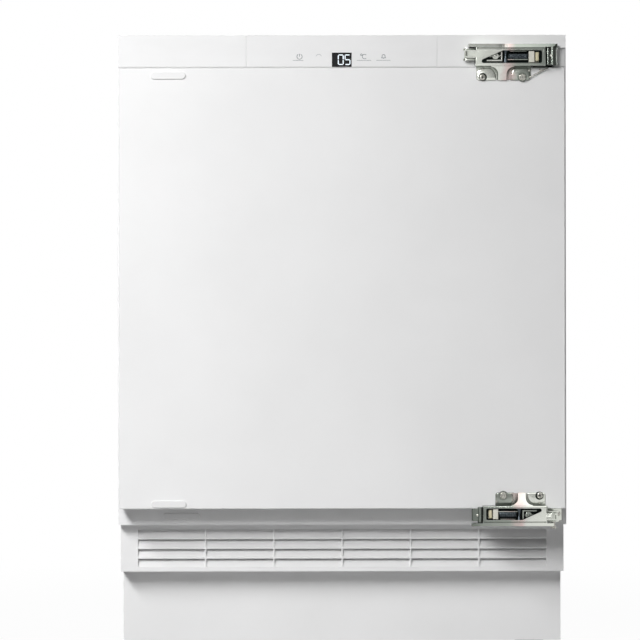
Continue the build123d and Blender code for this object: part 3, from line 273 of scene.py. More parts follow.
@dataclass(frozen=True)
class ZincPassivatedSteel(Finish):
    """Stamped steel, zinc plated and passivated: a bright metal that drifts from rose to green, with a
    painted reflection from pale to dark along it and painted shade in its crevices.
    """

    # pale, colour, dark and end paint a reflection along X, pale at from_x and dark at to_x; rose and green
    # are passivation tints
    pale: str = "#dcdfd6"
    rose: str = "#c6b5b1"
    green: str = "#9da29a"
    dark: str = "#8b908a"
    end: str = "#747a73"
    # painted shade: colours and reach of the darkening in hollows, found by ambient occlusion
    painted_crevice_shade: str = "#222a25"
    painted_half_shade: str = "#8b918a"
    painted_shade_reach: float = 7.0
    from_x: float = 165.0
    to_x: float = 283.0
    scratch: float = 0.5

    def drift(self, tree: Tree) -> Socket:
        """Passivation tints of rose and green along the hinge, with an uneven front, inside a painted
        reflection from pale at one end to dark at the other.
        """
        place = add_node(tree, "ShaderNodeSeparateXYZ", {"Vector": object_point(tree)})
        uneven = spread(tree, noise(tree, 14.0, 2.0), -9.0 * MM, 9.0 * MM)
        shifted = add_node(tree, "ShaderNodeMath", {0: place.outputs["X"], 1: uneven})
        limits = {
            "Value": shifted.outputs[0],
            "From Min": self.from_x * MM,
            "From Max": self.to_x * MM,
        }
        along = add_node(tree, "ShaderNodeMapRange", limits).outputs["Result"]
        # painted reflection from pale to dark, with the passivation tints in the middle
        stops = [
            (0.0, self.pale),
            (0.36, self.colour),
            (0.45, self.rose),
            (0.54, self.green),
            (0.86, self.dark),
            (0.95, self.end),
        ]
        return ramp(tree, along, stops)

    def dress(self, tree: Tree, shader: Node) -> None:
        """Colour along the hinge, painted shade in the crevices from ambient occlusion, drawing lines along
        X and pores.
        """
        occlusion_reach = {"Distance": self.painted_shade_reach * MM}
        unshaded_share = add_node(tree, "ShaderNodeAmbientOcclusion", occlusion_reach, samples=6)
        # painted shade: near black in hollows, mid grey where half shaded, unchanged in the open
        stops = [(0.32, self.painted_crevice_shade), (0.55, self.painted_half_shade), (0.82, "#ffffff")]
        pair = {6: self.drift(tree), 7: ramp(tree, unshaded_share.outputs["AO"], stops), 0: 1.0}
        shaded_colour = add_node(tree, "ShaderNodeMix", pair, data_type="RGBA", blend_type="MULTIPLY")
        tree.links.new(shaded_colour.outputs[2], shader.inputs["Base Color"])
        lines = noise(tree, self.scratch, 3.0, (0.06, 1.0, 1.0))
        cloud = noise(tree, 5.0, 3.0)
        mixed = add_node(tree, "ShaderNodeMath", {0: lines, 1: cloud}, operation="MULTIPLY")
        self.gloss(tree, shader, mixed.outputs[0], 0.06, 0.2)
        relief(tree, shader, lines, 0.008)


@dataclass(frozen=True)
class GalvanisedSteel(Finish):
    """Hot-dip galvanised sheet: zinc crystals of a centimetre, each with its own grey."""

    dark: str = "#9ba1a5"
    spangle: float = 11.0

    def dress(self, tree: Tree, shader: Node) -> None:
        """Crystal cells from a Voronoi pattern, which also change the gloss a little."""
        place = {"Vector": object_point(tree), "Scale": per_mm(self.spangle)}
        cells = add_node(tree, "ShaderNodeTexVoronoi", place)
        grey = add_node(tree, "ShaderNodeSeparateColor", {"Color": cells.outputs["Color"]})
        self.tone(tree, shader, grey.outputs["Red"], (0.0, self.dark), (1.0, self.colour))
        self.gloss(tree, shader, grey.outputs["Green"], 0.08, 0.12)
        relief(tree, shader, noise(tree, 1.6, 2.0), 0.01)


@dataclass(frozen=True)
class TurnedSteel(Finish):
    """Turned or cold-headed steel, plated: fine rings of tool marks and a sharp shine."""

    worn: str = "#8b8b86"

    def dress(self, tree: Tree, shader: Node) -> None:
        """Small darker patches in the plating and tool marks drawn at 0.6 mm."""
        self.tone(tree, shader, noise(tree, 2.2, 3.0), (0.35, self.worn), (0.6, self.colour))
        marks = noise(tree, 0.6, 2.0)
        self.gloss(tree, shader, marks, 0.05, 0.15)
        relief(tree, shader, marks, 0.02)


@dataclass(frozen=True)
class Enamel(Finish):
    """Stoved enamel on pressed steel: a glossy coat that hides the metal, with a few runs."""

    dust: str = "#26272a"

    def dress(self, tree: Tree, shader: Node) -> None:
        """Dust in the lows and a slow waviness from the dipping."""
        self.tone(tree, shader, noise(tree, 9.0, 4.0), (0.45, self.colour), (0.75, self.dust))
        shader.inputs["Coat Weight"].default_value = 0.4
        shader.inputs["Coat Roughness"].default_value = 0.12
        self.gloss(tree, shader, noise(tree, 3.0, 2.0), 0.05, 0.1)
        relief(tree, shader, noise(tree, 4.0, 2.0), 0.05)


@dataclass(frozen=True)
class GlossPolystyrene(Finish):
    """Thermoformed high-impact polystyrene: a soft gloss with the waviness of drawn sheet."""

    shade: str = "#f0f1f1"

    def dress(self, tree: Tree, shader: Node) -> None:
        """Waves of some centimetres, and frost-fine grain on top."""
        self.tone(tree, shader, noise(tree, 90.0, 2.0), (0.3, self.shade), (0.7, self.colour))
        shader.inputs["IOR"].default_value = 1.59
        self.gloss(tree, shader, noise(tree, 1.2, 3.0), 0.05, 0.08)
        relief(tree, shader, noise(tree, 22.0, 1.0), 0.08)


@dataclass(frozen=True)
class CrystalPolystyrene(Finish):
    """Moulded crystal polystyrene: clear, faintly blue and slightly frosted inside the mould."""

    clear: float = 0.82

    def dress(self, tree: Tree, shader: Node) -> None:
        """Frosting that comes and goes, and the ripple of the mould."""
        shader.inputs["Transmission Weight"].default_value = self.clear
        shader.inputs["IOR"].default_value = 1.59
        self.gloss(tree, shader, noise(tree, 1.4, 3.0), 0.05, 0.12)
        relief(tree, shader, noise(tree, 8.0, 1.0), 0.03)


@dataclass(frozen=True)
class Foam(Finish):
    """Polyurethane foamed in place: a cut face of small closed cells."""

    cell: float = 1.6
    hollow: str = "#c8b478"

    def dress(self, tree: Tree, shader: Node) -> None:
        """Cells drawn at 1.6 mm, larger than the real 0.4 mm, so that they show."""
        place = {"Vector": object_point(tree), "Scale": per_mm(self.cell)}
        cells = add_node(tree, "ShaderNodeTexVoronoi", place).outputs["Distance"]
        self.tone(tree, shader, cells, (0.0, self.hollow), (0.6, self.colour))
        relief(tree, shader, cells, 0.5)


@dataclass(frozen=True)
class Elastomer(Finish):
    """Extruded or moulded soft plastic and rubber: dull, with fine drag lines and dust."""

    bloom: str = "#d6d7d8"
    line: float = 0.8

    def dress(self, tree: Tree, shader: Node) -> None:
        """Bloom on the skin and drag lines from the die."""
        self.tone(tree, shader, noise(tree, 6.0, 4.0), (0.4, self.colour), (0.8, self.bloom))
        relief(tree, shader, noise(tree, self.line, 2.0), 0.03)


@dataclass(frozen=True)
class Copper(Finish):
    """Drawn copper tube: warm metal with brown oxide where hands and flame have been."""

    oxide: str = "#7a4a30"

    def dress(self, tree: Tree, shader: Node) -> None:
        """Oxide clouds that are also duller."""
        cloud = noise(tree, 12.0, 4.0)
        self.tone(tree, shader, cloud, (0.35, self.colour), (0.7, self.oxide))
        self.gloss(tree, shader, cloud, 0.1, 0.25)
        relief(tree, shader, noise(tree, 0.8, 2.0), 0.01)


@dataclass(frozen=True)
class CircuitBoard(Finish):
    """Glass-epoxy board under green solder mask, with copper tracks that show through."""

    track: str = "#2c7a4c"
    pitch: float = 2.5

    def dress(self, tree: Tree, shader: Node) -> None:
        """Tracks as the joints of a brick pattern, at a pin pitch of 2.5 mm."""
        place = {
            "Vector": object_point(tree, (1.0, 0.0, 1.0)),
            "Scale": per_mm(self.pitch),
            "Color1": linear(self.colour),
            "Color2": linear(self.colour),
            "Mortar": linear(self.track),
            "Mortar Size": 0.08,
        }
        tracks = add_node(tree, "ShaderNodeTexBrick", place)
        tree.links.new(tracks.outputs["Color"], shader.inputs["Base Color"])
        relief(tree, shader, tracks.outputs["Fac"], 0.03)


@dataclass(frozen=True)
class SmokedAcrylic(Finish):
    """Polished black acrylic: a deep gloss with hair-fine wiping marks."""

    def dress(self, tree: Tree, shader: Node) -> None:
        """Wiping marks along X, only in the gloss."""
        shader.inputs["IOR"].default_value = 1.49
        self.gloss(tree, shader, noise(tree, 0.5, 2.0, (0.1, 1.0, 1.0)), 0.0, 0.08)


@dataclass(frozen=True)
class LitSegment(Finish):
    """Diffuser of a light-emitting digit: milky plastic that glows evenly."""

    glow: float = 0.55

    def dress(self, tree: Tree, shader: Node) -> None:
        """Glow in the diffuser's own colour, with a faint mottling of the resin."""
        shader.inputs["Emission Color"].default_value = linear(self.colour)
        shader.inputs["Emission Strength"].default_value = self.glow
        relief(tree, shader, noise(tree, 0.6, 1.0), 0.01)


@dataclass(frozen=True)
class ScreenInk(Finish):
    """Screen-printed ink: matt, a little uneven over the grain below."""

    thin: str = "#8d9298"

    def dress(self, tree: Tree, shader: Node) -> None:
        """Ink that is thinner in spots."""
        self.tone(tree, shader, noise(tree, 0.8, 2.0), (0.35, self.thin), (0.6, self.colour))


WHITE_STEEL = PowderCoat("powder_coated_white_steel", "#f1f1f1", 0.38)
WHITE_ABS = MouldedPlastic("moulded_white_abs", "#f0f0f0", 0.42)
GREY_ABS = MouldedPlastic("moulded_grey_abs", "#8f9194", 0.5, shade="#85878a")
BLACK_PLASTIC = MouldedPlastic("moulded_black_polypropylene", "#1b1b1c", 0.5, shade="#222324")
HINGE_NYLON = MouldedPlastic("moulded_natural_nylon", "#e6e4da", 0.4, shade="#d8d6c8")
LINER = GlossPolystyrene("thermoformed_polystyrene", "#f4f5f5", 0.22)
DRAWER = CrystalPolystyrene("clear_moulded_polystyrene", "#e6f2f6", 0.14)
FOAM = Foam("foamed_polyurethane", "#e2d2a0", 0.85)
GALVANISED = GalvanisedSteel("galvanised_sheet_steel", "#c6cacc", 0.38, 0.9)
HINGE_STEEL = ZincPassivatedSteel("zinc_passivated_stamped_steel", "#d3d5ce", 0.2, 1.0)
# the painted reflection runs the other way along X on the hinge turned by half a turn
LOWER_HINGE_STEEL = ZincPassivatedSteel(
    "zinc_passivated_stamped_steel_turned", "#d3d5ce", 0.2, 1.0, from_x=282.0, to_x=169.0
)
DAMPER_NYLON = MouldedPlastic("moulded_beige_nylon", "#d9d2b4", 0.4, shade="#cbc29f")
SCREW_STEEL = TurnedSteel("zinc_plated_turned_steel", "#bdbcb4", 0.2, 1.0, worn="#8f8e88")
DARK_STEEL = TurnedSteel("blued_turned_steel", "#4e5458", 0.3, 1.0, worn="#33383c")
OILED_STEEL = TurnedSteel("oiled_black_steel", "#232a27", 0.34, 1.0, worn="#161b19")
BLACK_ENAMEL = Enamel("stoved_black_enamel", "#0e0e10", 0.3)
GASKET_VINYL = Elastomer("extruded_white_vinyl", "#dfe0e0", 0.6)
BLACK_RUBBER = Elastomer("moulded_black_rubber", "#151516", 0.75, bloom="#2b2c2d")
COPPER = Copper("drawn_copper_tube", "#c98f6b", 0.28, 1.0)
BOARD = CircuitBoard("printed_circuit_board", "#1b5c38", 0.35)
SMOKED = SmokedAcrylic("polished_smoked_acrylic", "#08090b", 0.05)
DIGIT = LitSegment("milky_digit_diffuser", "#dfe8ee", 0.4)
INK = ScreenInk("grey_screen_ink", "#5d6268", 0.6)
PALE_INK = ScreenInk("pale_screen_ink", "#b4b7bb", 0.6, thin="#c3c6c9")
COATED_WIRE = PowderCoat("powder_coated_wire", "#e9eaea", 0.35, peel=0.9, shade="#dfe1e1")

SLOT_FINISH = {
    "white_sheet_steel": WHITE_STEEL,
    "white_plastic": WHITE_ABS,
    "liner_plastic": LINER,
    "foam": FOAM,
    "galvanised_steel": GALVANISED,
    "plated_hinge_steel": HINGE_STEEL,
    "screw_steel": SCREW_STEEL,
    "dark_glass": SMOKED,
    "circuit_board": BOARD,
    "gasket_vinyl": GASKET_VINYL,
    "hinge_plastic": HINGE_NYLON,
    "dark_steel": DARK_STEEL,
    "black_enamel": BLACK_ENAMEL,
    "black_plastic": BLACK_PLASTIC,
    "black_rubber": BLACK_RUBBER,
    "copper": COPPER,
    "coated_wire": COATED_WIRE,
    "drawer_plastic": DRAWER,
    "grey_plastic": GREY_ABS,
}


def dress_nodes() -> None:
    """Gives each CAD node the finish of its material slot."""
    for row in frame["record"]["subparts"]:
        mesh = frame["nodes"][row["node"]].data
        mesh.materials.clear()
        mesh.materials.append(SLOT_FINISH[row["material_slot"]].material())


@dataclass
class Studio:
    """Pale floor, soft lights and the camera of the photograph."""

    distance: float = 4.0
    roll: float = -0.1
    frame_width: float = 0.8408
    aim: Point = (-0.0292, -0.267, 0.4439)
    sensor: float = 36.0
    key_place: Point = (-1.18, -2.57, 1.81)
    key_target: Point = (-0.62, -0.267, 0.54)
    key_length: float = 2.25
    key_width: float = 0.35
    key_lean: Point = (-0.75, 0.0, 0.8)
    key_power: float = 23.3
    key_spread: float = 90.0
    fill_place: Point = (0.3, -4.2, 1.2)
    fill_target: Point = (0.0, -0.2, 0.5)
    fill_size: float = 1.7
    fill_power: float = 4.0
    rear_place: Point = (1.9, 2.4, 1.7)
    rear_size: float = 1.6
    rear_power: float = 42.0
    full_spread: float = 180.0
    level: Point = (1.0, 0.0, 0.0)
    ambient: str = "#454546"
    overhead: float = 2.0
    overhead_from: float = 0.4
    overhead_to: float = 0.52
    room: tuple[tuple[float, str], ...] = (
        (0.0, "#8a8b8a"),
        (0.1, "#6d6e6d"),
        (0.25, "#303231"),
        (0.4, "#3a3c3b"),
        (0.5, "#f4f5f4"),
    )
    backdrop_from: float = -0.05
    backdrop_to: float = 0.25
    floor_half: float = 20.0
    floor_colour: str = "#bcbcbc"
    floor_glow: float = 0.97
    glow_near: float = 0.45
    glow_far: float = 1.5

    def camera(self) -> None:
        """Long lens, level with the middle of the front and square to it."""
        data = bpy.data.cameras.new("camera")
        data.sensor_width = self.sensor
        data.lens = self.sensor * self.distance / self.frame_width
        data.clip_end = 100.0
        camera = bpy.data.objects.new("camera", data)
        bpy.context.scene.collection.objects.link(camera)
        back = Vector((0.0, -1.0, 0.0))
        camera.location = Vector(self.aim) + back * self.distance
        turn = back.to_track_quat("Z", "Y") @ Quaternion((0.0, 0.0, 1.0), math.radians(self.roll))
        camera.rotation_euler = turn.to_euler()
        bpy.context.scene.camera = camera

    def area(
        self,
        name: str,
        place: Point,
        target: Point,
        size: Flat,
        power: float,
        grid: float,
        lean: Point,
    ) -> None:
        """Adds one rectangular soft light.

        Args:
            name: Name of the light.
            place: Its centre in metres.
            target: Point that it faces.
            size: Length and width in metres.
            power: Power in watts.
            grid: Angle of its grid in degrees, beyond which it gives no light.
            lean: Direction of its length.
        """
        data = bpy.data.lights.new(name, "AREA")
        data.shape = "RECTANGLE"
        data.size, data.size_y = size
        data.energy = power
        data.spread = math.radians(grid)
        light = bpy.data.objects.new(name, data)
        light.location = place
        light.visible_camera = False
        away = (Vector(place) - Vector(target)).normalized()
        along = Vector(lean)
        along = (along - away * along.dot(away)).normalized()
        axes = Matrix((along, away.cross(along), away)).transposed()
        light.rotation_euler = axes.to_euler()
        bpy.context.scene.collection.objects.link(light)

    def larger(self, tree: Tree, one: Socket, two: Socket) -> Socket:
        """The larger of two values."""
        return add_node(tree, "ShaderNodeMath", {0: one, 1: two}, operation="MAXIMUM").outputs[0]

    def world(self) -> None:
        """Pale surroundings: white to the camera and through glass, a darker room in mirrors."""
        world = bpy.data.worlds.new("studio")
        bpy.context.scene.world = world
        world.use_nodes = True
        tree = world.node_tree
        tree.nodes.clear()
        path = add_node(tree, "ShaderNodeLightPath").outputs
        direction = add_node(tree, "ShaderNodeTexCoord").outputs["Generated"]
        depth = add_node(tree, "ShaderNodeSeparateXYZ", {"Vector": direction}).outputs["Y"]
        limits = {"Value": depth, "From Min": self.backdrop_from, "From Max": self.backdrop_to}
        behind = add_node(tree, "ShaderNodeMapRange", limits).outputs["Result"]
        pair = {0: behind, 1: path["Is Glossy Ray"]}
        mirrored = add_node(tree, "ShaderNodeMath", pair, operation="MULTIPLY").outputs[0]
        direct = self.larger(tree, path["Is Camera Ray"], path["Is Transmission Ray"])
        seen = self.larger(tree, direct, mirrored)
        height = add_node(tree, "ShaderNodeSeparateXYZ", {"Vector": direction}).outputs["Z"]
        shades = ramp(tree, height, list(self.room))
        mix = {0: path["Is Glossy Ray"], 6: linear(self.ambient), 7: shades}
        surroundings = add_node(tree, "ShaderNodeMix", mix, data_type="RGBA")
        limits = {
            "Value": height,
            "From Min": self.overhead_from,
            "From Max": self.overhead_to,
            "To Min": 0.0,
            "To Max": self.overhead - 1.0,
        }
        overhead = add_node(tree, "ShaderNodeMapRange", limits).outputs["Result"]
        pair = {0: overhead, 1: path["Is Glossy Ray"], 2: 1.0}
        lift = add_node(tree, "ShaderNodeMath", pair, operation="MULTIPLY_ADD").outputs[0]
        plain = {"Color": surroundings.outputs[2], "Strength": lift}
        white = {"Color": (1.0, 1.0, 1.0, 1.0), "Strength": 1.0}
        dim = add_node(tree, "ShaderNodeBackground", plain)
        bright = add_node(tree, "ShaderNodeBackground", white)
        mix = {0: seen, 1: dim.outputs[0], 2: bright.outputs[0]}
        mixed = add_node(tree, "ShaderNodeMixShader", mix)
        add_node(tree, "ShaderNodeOutputWorld", {"Surface": mixed.outputs[0]})

    def floor_material(self) -> bpy.types.Material:
        """Pale floor that keeps a soft shadow near the object and runs out to white."""
        material = bpy.data.materials.new("pale_floor")
        material.use_nodes = True
        tree = material.node_tree
        tree.nodes.clear()
        path = add_node(tree, "ShaderNodeLightPath").outputs
        direct = self.larger(tree, path["Is Camera Ray"], path["Is Glossy Ray"])
        seen = self.larger(tree, direct, path["Is Transmission Ray"])
        reach = add_node(tree, "ShaderNodeVectorMath", {0: object_point(tree)}, operation="LENGTH")
        limits = {
            "Value": reach.outputs["Value"],
            "From Min": self.glow_near,
            "From Max": self.glow_far,
            "To Min": self.floor_glow,
            "To Max": 1.0,
        }
        glow = add_node(tree, "ShaderNodeMapRange", limits, interpolation_type="SMOOTHSTEP")
        share = add_node(tree, "ShaderNodeMath", {0: seen, 1: glow.outputs["Result"]}, operation="MULTIPLY")
        diffuse = add_node(tree, "ShaderNodeBsdfDiffuse", {"Color": linear(self.floor_colour)})
        white = add_node(tree, "ShaderNodeEmission", {"Color": (1.0, 1.0, 1.0, 1.0), "Strength": 1.0})
        mix = {0: share.outputs[0], 1: diffuse.outputs[0], 2: white.outputs[0]}
        mixed = add_node(tree, "ShaderNodeMixShader", mix)
        add_node(tree, "ShaderNodeOutputMaterial", {"Surface": mixed.outputs[0]})
        return material

    def floor(self) -> None:
        """Lays the floor."""
        half = self.floor_half
        mesh = bpy.data.meshes.new("floor")
        corners = [(-half, -half, 0), (half, -half, 0), (half, half, 0), (-half, half, 0)]
        mesh.from_pydata(corners, [], [(0, 1, 2, 3)])
        mesh.materials.append(self.floor_material())
        floor = bpy.data.objects.new("floor", mesh)
        bpy.context.scene.collection.objects.link(floor)

    def build(self) -> None:
        """Makes the whole studio."""
        bpy.context.scene.view_settings.view_transform = "Standard"
        self.camera()
        self.world()
        self.floor()
        key = (self.key_length, self.key_width), self.key_power, self.key_spread, self.key_lean
        fill = (self.fill_size, self.fill_size), self.fill_power, self.full_spread, self.level
        rear = (self.rear_size, self.rear_size), self.rear_power, self.full_spread, self.level
        self.area("key", self.key_place, self.key_target, *key)
        self.area("fill", self.fill_place, self.fill_target, *fill)
        self.area("rear", self.rear_place, self.fill_target, *rear)


class Shape:
    """Collects parts in one mesh, given in millimetres."""

    def __init__(self) -> None:
        """Starts empty."""
        self.mesh = bmesh.new()

    def face_loop(self, rings: list[list[Point]], close_ends: bool = True, closed: bool = False) -> None:
        """Joins rings of equal length with faces.

        Args:
            rings: Rings of points, in order.
            close_ends: Whether the first and last ring get a face.
            closed: Whether the last ring joins the first one.
        """
        rows = [[self.mesh.verts.new(Vector(p) * MM) for p in ring] for ring in rings]
        pairs = list(zip(rows, rows[1:]))
        if closed:
            pairs.append((rows[-1], rows[0]))
        for one, two in pairs:
            count = len(one)
            for i in range(count):
                j = (i + 1) % count
                self.mesh.faces.new((one[i], one[j], two[j], two[i]))
        if close_ends and not closed:
            self.mesh.faces.new(list(reversed(rows[0])))
            self.mesh.faces.new(rows[-1])

    def prism(self, outline: list[Flat], y0: float, y1: float) -> None:
        """Adds an outline in X and Z, solid from y0 to y1."""
        self.face_loop([[(x, y, z) for x, z in outline] for y in (y0, y1)])

    def box(self, low: Point, high: Point) -> None:
        """Adds a box between its lowest and highest corner."""
        outline = [(low[0], low[2]), (high[0], low[2]), (high[0], high[2]), (low[0], high[2])]
        self.prism(outline, low[1], high[1])

    def lathe(self, profile: list[Flat], base: Point, axis: Point, sides: int = 32) -> None:
        """Turns a profile about an axis.

        Args:
            profile: Radius and height of each ring.
            base: Point on the axis at height 0.
            axis: Direction of the axis.
            sides: Faces round the axis.
        """
        turn = Vector(axis).to_track_quat("Z", "Y")
        rings = []
        for radius, height in profile:
            ring = []
            for i in range(sides):
                angle = 2 * math.pi * i / sides
                local = Vector((radius * math.cos(angle), radius * math.sin(angle), height))
                ring.append(tuple(turn @ local + Vector(base)))
            rings.append(ring)
        self.face_loop(rings)

    def sweep(self, path: list[Point], radius: float, sides: int = 12) -> None:
        """Round bar along a path.

        Args:
            path: Points of the centreline.
            radius: Radius of the bar.
            sides: Faces round it.
        """
        points = [Vector(p) for p in path]
        rings = []
        normal = None
        for i, point in enumerate(points):
            ahead = points[min(i + 1, len(points) - 1)] - points[max(i - 1, 0)]
            ahead.normalize()
            if normal is None:
                helper = Vector((0, 0, 1)) if abs(ahead.z) < 0.9 else Vector((1, 0, 0))
                normal = ahead.cross(helper).normalized()
            normal = (normal - ahead * normal.dot(ahead)).normalized()
            side = ahead.cross(normal)
            ring = []
            for k in range(sides):
                angle = 2 * math.pi * k / sides
                offset = normal * math.cos(angle) + side * math.sin(angle)
                ring.append(tuple(point + offset * radius))
            rings.append(ring)
        self.face_loop(rings)

    def piece(
        self,
        name: str,
        body: Body,
        finish: Finish,
        slot: str,
        bevel: float = 0.0,
        smooth: float = SMOOTH_ANGLE,
    ) -> bpy.types.Object:
        """Turns the mesh to an object that rides on a body.

        Args:
            name: Name of the piece.
            body: CAD body that carries it.
            finish: Its material.
            slot: The record's slot; not used.
            bevel: Width of the rounded edges in millimetres.
            smooth: Angle in degrees under which edges are shaded smooth.

        Returns:
            The new object.
        """
        bmesh.ops.recalc_face_normals(self.mesh, faces=self.mesh.faces)
        data = bpy.data.meshes.new(name)
        self.mesh.to_mesh(data)
        self.mesh.free()
        return carry(name, data, body, finish, bevel, smooth)


def round_edges(made: bpy.types.Object, width: float, angle: float) -> None:
    """Rounds the edges of an object above an angle in radians, to a width in metres."""
    rounding = made.modifiers.new("rounded_edges", "BEVEL")
    rounding.width = width
    rounding.segments = 2
    rounding.limit_method = "ANGLE"
    rounding.angle_limit = angle
    rounding.harden_normals = True


def carry(
    name: str,
    data: bpy.types.Mesh,
    body: Body,
    finish: Finish,
    bevel: float,
    smooth: float = SMOOTH_ANGLE,
) -> bpy.types.Object:
    """Puts a mesh on a body with its finish and rounded edges.

    Args:
        name: Name of the piece.
        data: Its mesh in metres.
        body: CAD body that carries it.
        finish: Its material.
        bevel: Width of the rounded edges in millimetres.
        smooth: Angle in degrees under which edges are shaded smooth.

    Returns:
        The new object.
    """
    data.materials.clear()
    data.materials.append(finish.material())
    data.shade_smooth()
    data.set_sharp_from_angle(angle=math.radians(smooth))
    made = bpy.data.objects.new(name, data)
    bpy.context.scene.collection.objects.link(made)
    if bevel > 0:
        round_edges(made, bevel * MM, math.radians(smooth))
    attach(made, body.value)
    LOG.info("%s: %d faces on %s", name, len(data.polygons), body.value)
    return made


def softened(
    node: str, name: str, body: Body, finish: Finish, slot: str, bevel: float
) -> bpy.types.Object:
    """Copy of a CAD node with its sharp edges rounded, in the node's place.

    Args:
        node: CAD node that it stands for.
        name: Name of the piece.
        body: CAD body of the node.
        finish: Its material.
        slot: The record's slot of the node; not used.
        bevel: Width of the rounded edges in millimetres.

    Returns:
        The new object.
    """
    work = bmesh.new()
    work.from_mesh(frame["nodes"][node].data)
    bmesh.ops.remove_doubles(work, verts=work.verts, dist=WELD * MM)
    flat = math.radians(FLAT_ANGLE)
    bmesh.ops.dissolve_limit(work, angle_limit=flat, verts=work.verts, edges=work.edges)
    data = bpy.data.meshes.new(name)
    work.to_mesh(data)
    work.free()
    made = carry(name, data, body, finish, bevel)
    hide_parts(node)
    return made


@dataclass
class ControlMarks:
    """Digits behind the display pane and the touch symbols printed beside it."""

    face_y: float = -267.0
    ink: float = 0.06
    digit_low: float = 778.9
    digit_high: float = 792.7
    digit_width: float = 7.7
    digit_lefts: tuple[float, float] = (-5.2, 3.7)
    stroke: float = 1.3
    line_z: float = 784.7
    line_height: float = 0.45
    line_spans: tuple[Flat, ...] = ((-64.5, -50.5), (19.7, 38.4), (45.5, 63.8))
    power_centre: Flat = (-55.5, 789.9)
    power_r: float = 3.4
    degree_centre: Flat = (25.8, 792.2)
    degree_r: float = 1.1
    letter_centre: Flat = (30.0, 789.9)
    letter_r: float = 3.0
    bell_centre: Flat = (54.9, 789.9)
    bell_width: float = 6.4
    bell_height: float = 6.0
    dome_share: float = 0.62
    shoulder_share: float = 0.2
    brim_share: float = 0.6
    arc_centre: Flat = (-30.2, 789.3)
    arc_r: float = 3.6
    pen: float = 0.7

    def segments(self, left: float, lit: str) -> list[list[Flat]]:
        """Outlines of the lit bars of a seven-segment digit.

        Args:
            left: Left edge of the digit.
            lit: Letters of the lit bars, a to g.

        Returns:
            One outline per lit bar.
        """
        s = self.stroke
        x0, x1 = left, left + self.digit_width
        z0, z2 = self.digit_low, self.digit_high
        z1 = (z0 + z2) / 2
        gap = 0.15 * s

        def bar(a: Flat, b: Flat) -> list[Flat]:
            """Hexagonal bar between two tips."""
            start, end = Vector(a), Vector(b)
            along = (end - start).normalized()
            side = Vector((-along.y, along.x)) * s / 2
            start += along * gap
            end -= along * gap
            inner, outer = start + along * s / 2, end - along * s / 2
            points = [start, inner + side, outer + side, end, outer - side, inner - side]
            return [(p.x, p.y) for p in points]

        h = s / 2
        tips = {
            "a": ((x0 + h, z2 - h), (x1 - h, z2 - h)),
            "b": ((x1 - h, z1), (x1 - h, z2 - h)),
            "c": ((x1 - h, z0 + h), (x1 - h, z1)),
            "d": ((x0 + h, z0 + h), (x1 - h, z0 + h)),
            "e": ((x0 + h, z0 + h), (x0 + h, z1)),
            "f": ((x0 + h, z1), (x0 + h, z2 - h)),
            "g": ((x0 + h, z1), (x1 - h, z1)),
        }
        return [bar(*tips[letter]) for letter in lit]

    def arc(
        self,
        shape: Shape,
        centre: Flat,
        radius: float,
        start: float,
        end: float,
        steps: int = 24,
    ) -> None:
        """Stroke along part of a circle.

        Args:
            shape: Mesh that it goes to.
            centre: X and Z of the circle.
            radius: Radius to the middle of the stroke.
            start: First angle in degrees, from +X towards +Z.
            end: Last angle.
            steps: Straight runs along it.
        """
        half = self.pen / 2
        outer, inner = [], []
        for i in range(steps + 1):
            angle = math.radians(start + (end - start) * i / steps)
            c, s = math.cos(angle), math.sin(angle)
            outer.append((centre[0] + (radius + half) * c, centre[1] + (radius + half) * s))
            inner.append((centre[0] + (radius - half) * c, centre[1] + (radius - half) * s))
        for i in range(steps):
            quad = [outer[i], outer[i + 1], inner[i + 1], inner[i]]
            shape.prism(quad, self.face_y - self.ink, self.face_y)

    def rectangle(self, shape: Shape, x0: float, x1: float, z0: float, z1: float) -> None:
        """Thin printed rectangle on the fascia."""
        shape.box((x0, self.face_y - self.ink, z0), (x1, self.face_y, z1))

    def build(self) -> None:
        """Makes the digits and the printed symbols."""
        digits = Shape()
        for left, lit in zip(self.digit_lefts, ("abcdef", "acdfg")):
            for outline in self.segments(left, lit):
                digits.prism(outline, self.face_y - self.ink, self.face_y)
        digits.piece("display_digits", Body.CABINET, DIGIT, "dark_glass")
        marks = Shape()
        for x0, x1 in self.line_spans:
            self.rectangle(marks, x0, x1, self.line_z, self.line_z + self.line_height)
        self.arc(marks, self.power_centre, self.power_r, 120, 420)
        x, z = self.power_centre
        half = self.pen / 2
        self.rectangle(marks, x - half, x + half, z, z + self.power_r + half)
        self.arc(marks, self.degree_centre, self.degree_r, 0, 360)
        self.arc(marks, self.letter_centre, self.letter_r, 45, 315)
        self.bell(marks)
        marks.piece("touch_symbols", Body.CABINET, INK, "grey_plastic")
        faint = Shape()
        self.arc(faint, self.arc_centre, self.arc_r, 18, 162)
        faint.piece("faint_touch_symbol", Body.CABINET, PALE_INK, "grey_plastic")

    def bell(self, marks: Shape) -> None:
        """Plain bell outline for the warning key."""
        x, z = self.bell_centre
        w, h = self.bell_width / 2, self.bell_height / 2
        half = self.pen / 2
        side = w * self.dome_share
        shoulder, brim = z + h * self.shoulder_share, z - h * self.brim_share
        self.arc(marks, (x, shoulder), side, 0, 180)
        self.rectangle(marks, x - side - half, x - side + half, brim, shoulder)
        self.rectangle(marks, x + side - half, x + side + half, brim, shoulder)
        self.rectangle(marks, x - w, x + w, brim - half, brim + half)
        self.rectangle(marks, x - half, x + half, z - h, brim - half)


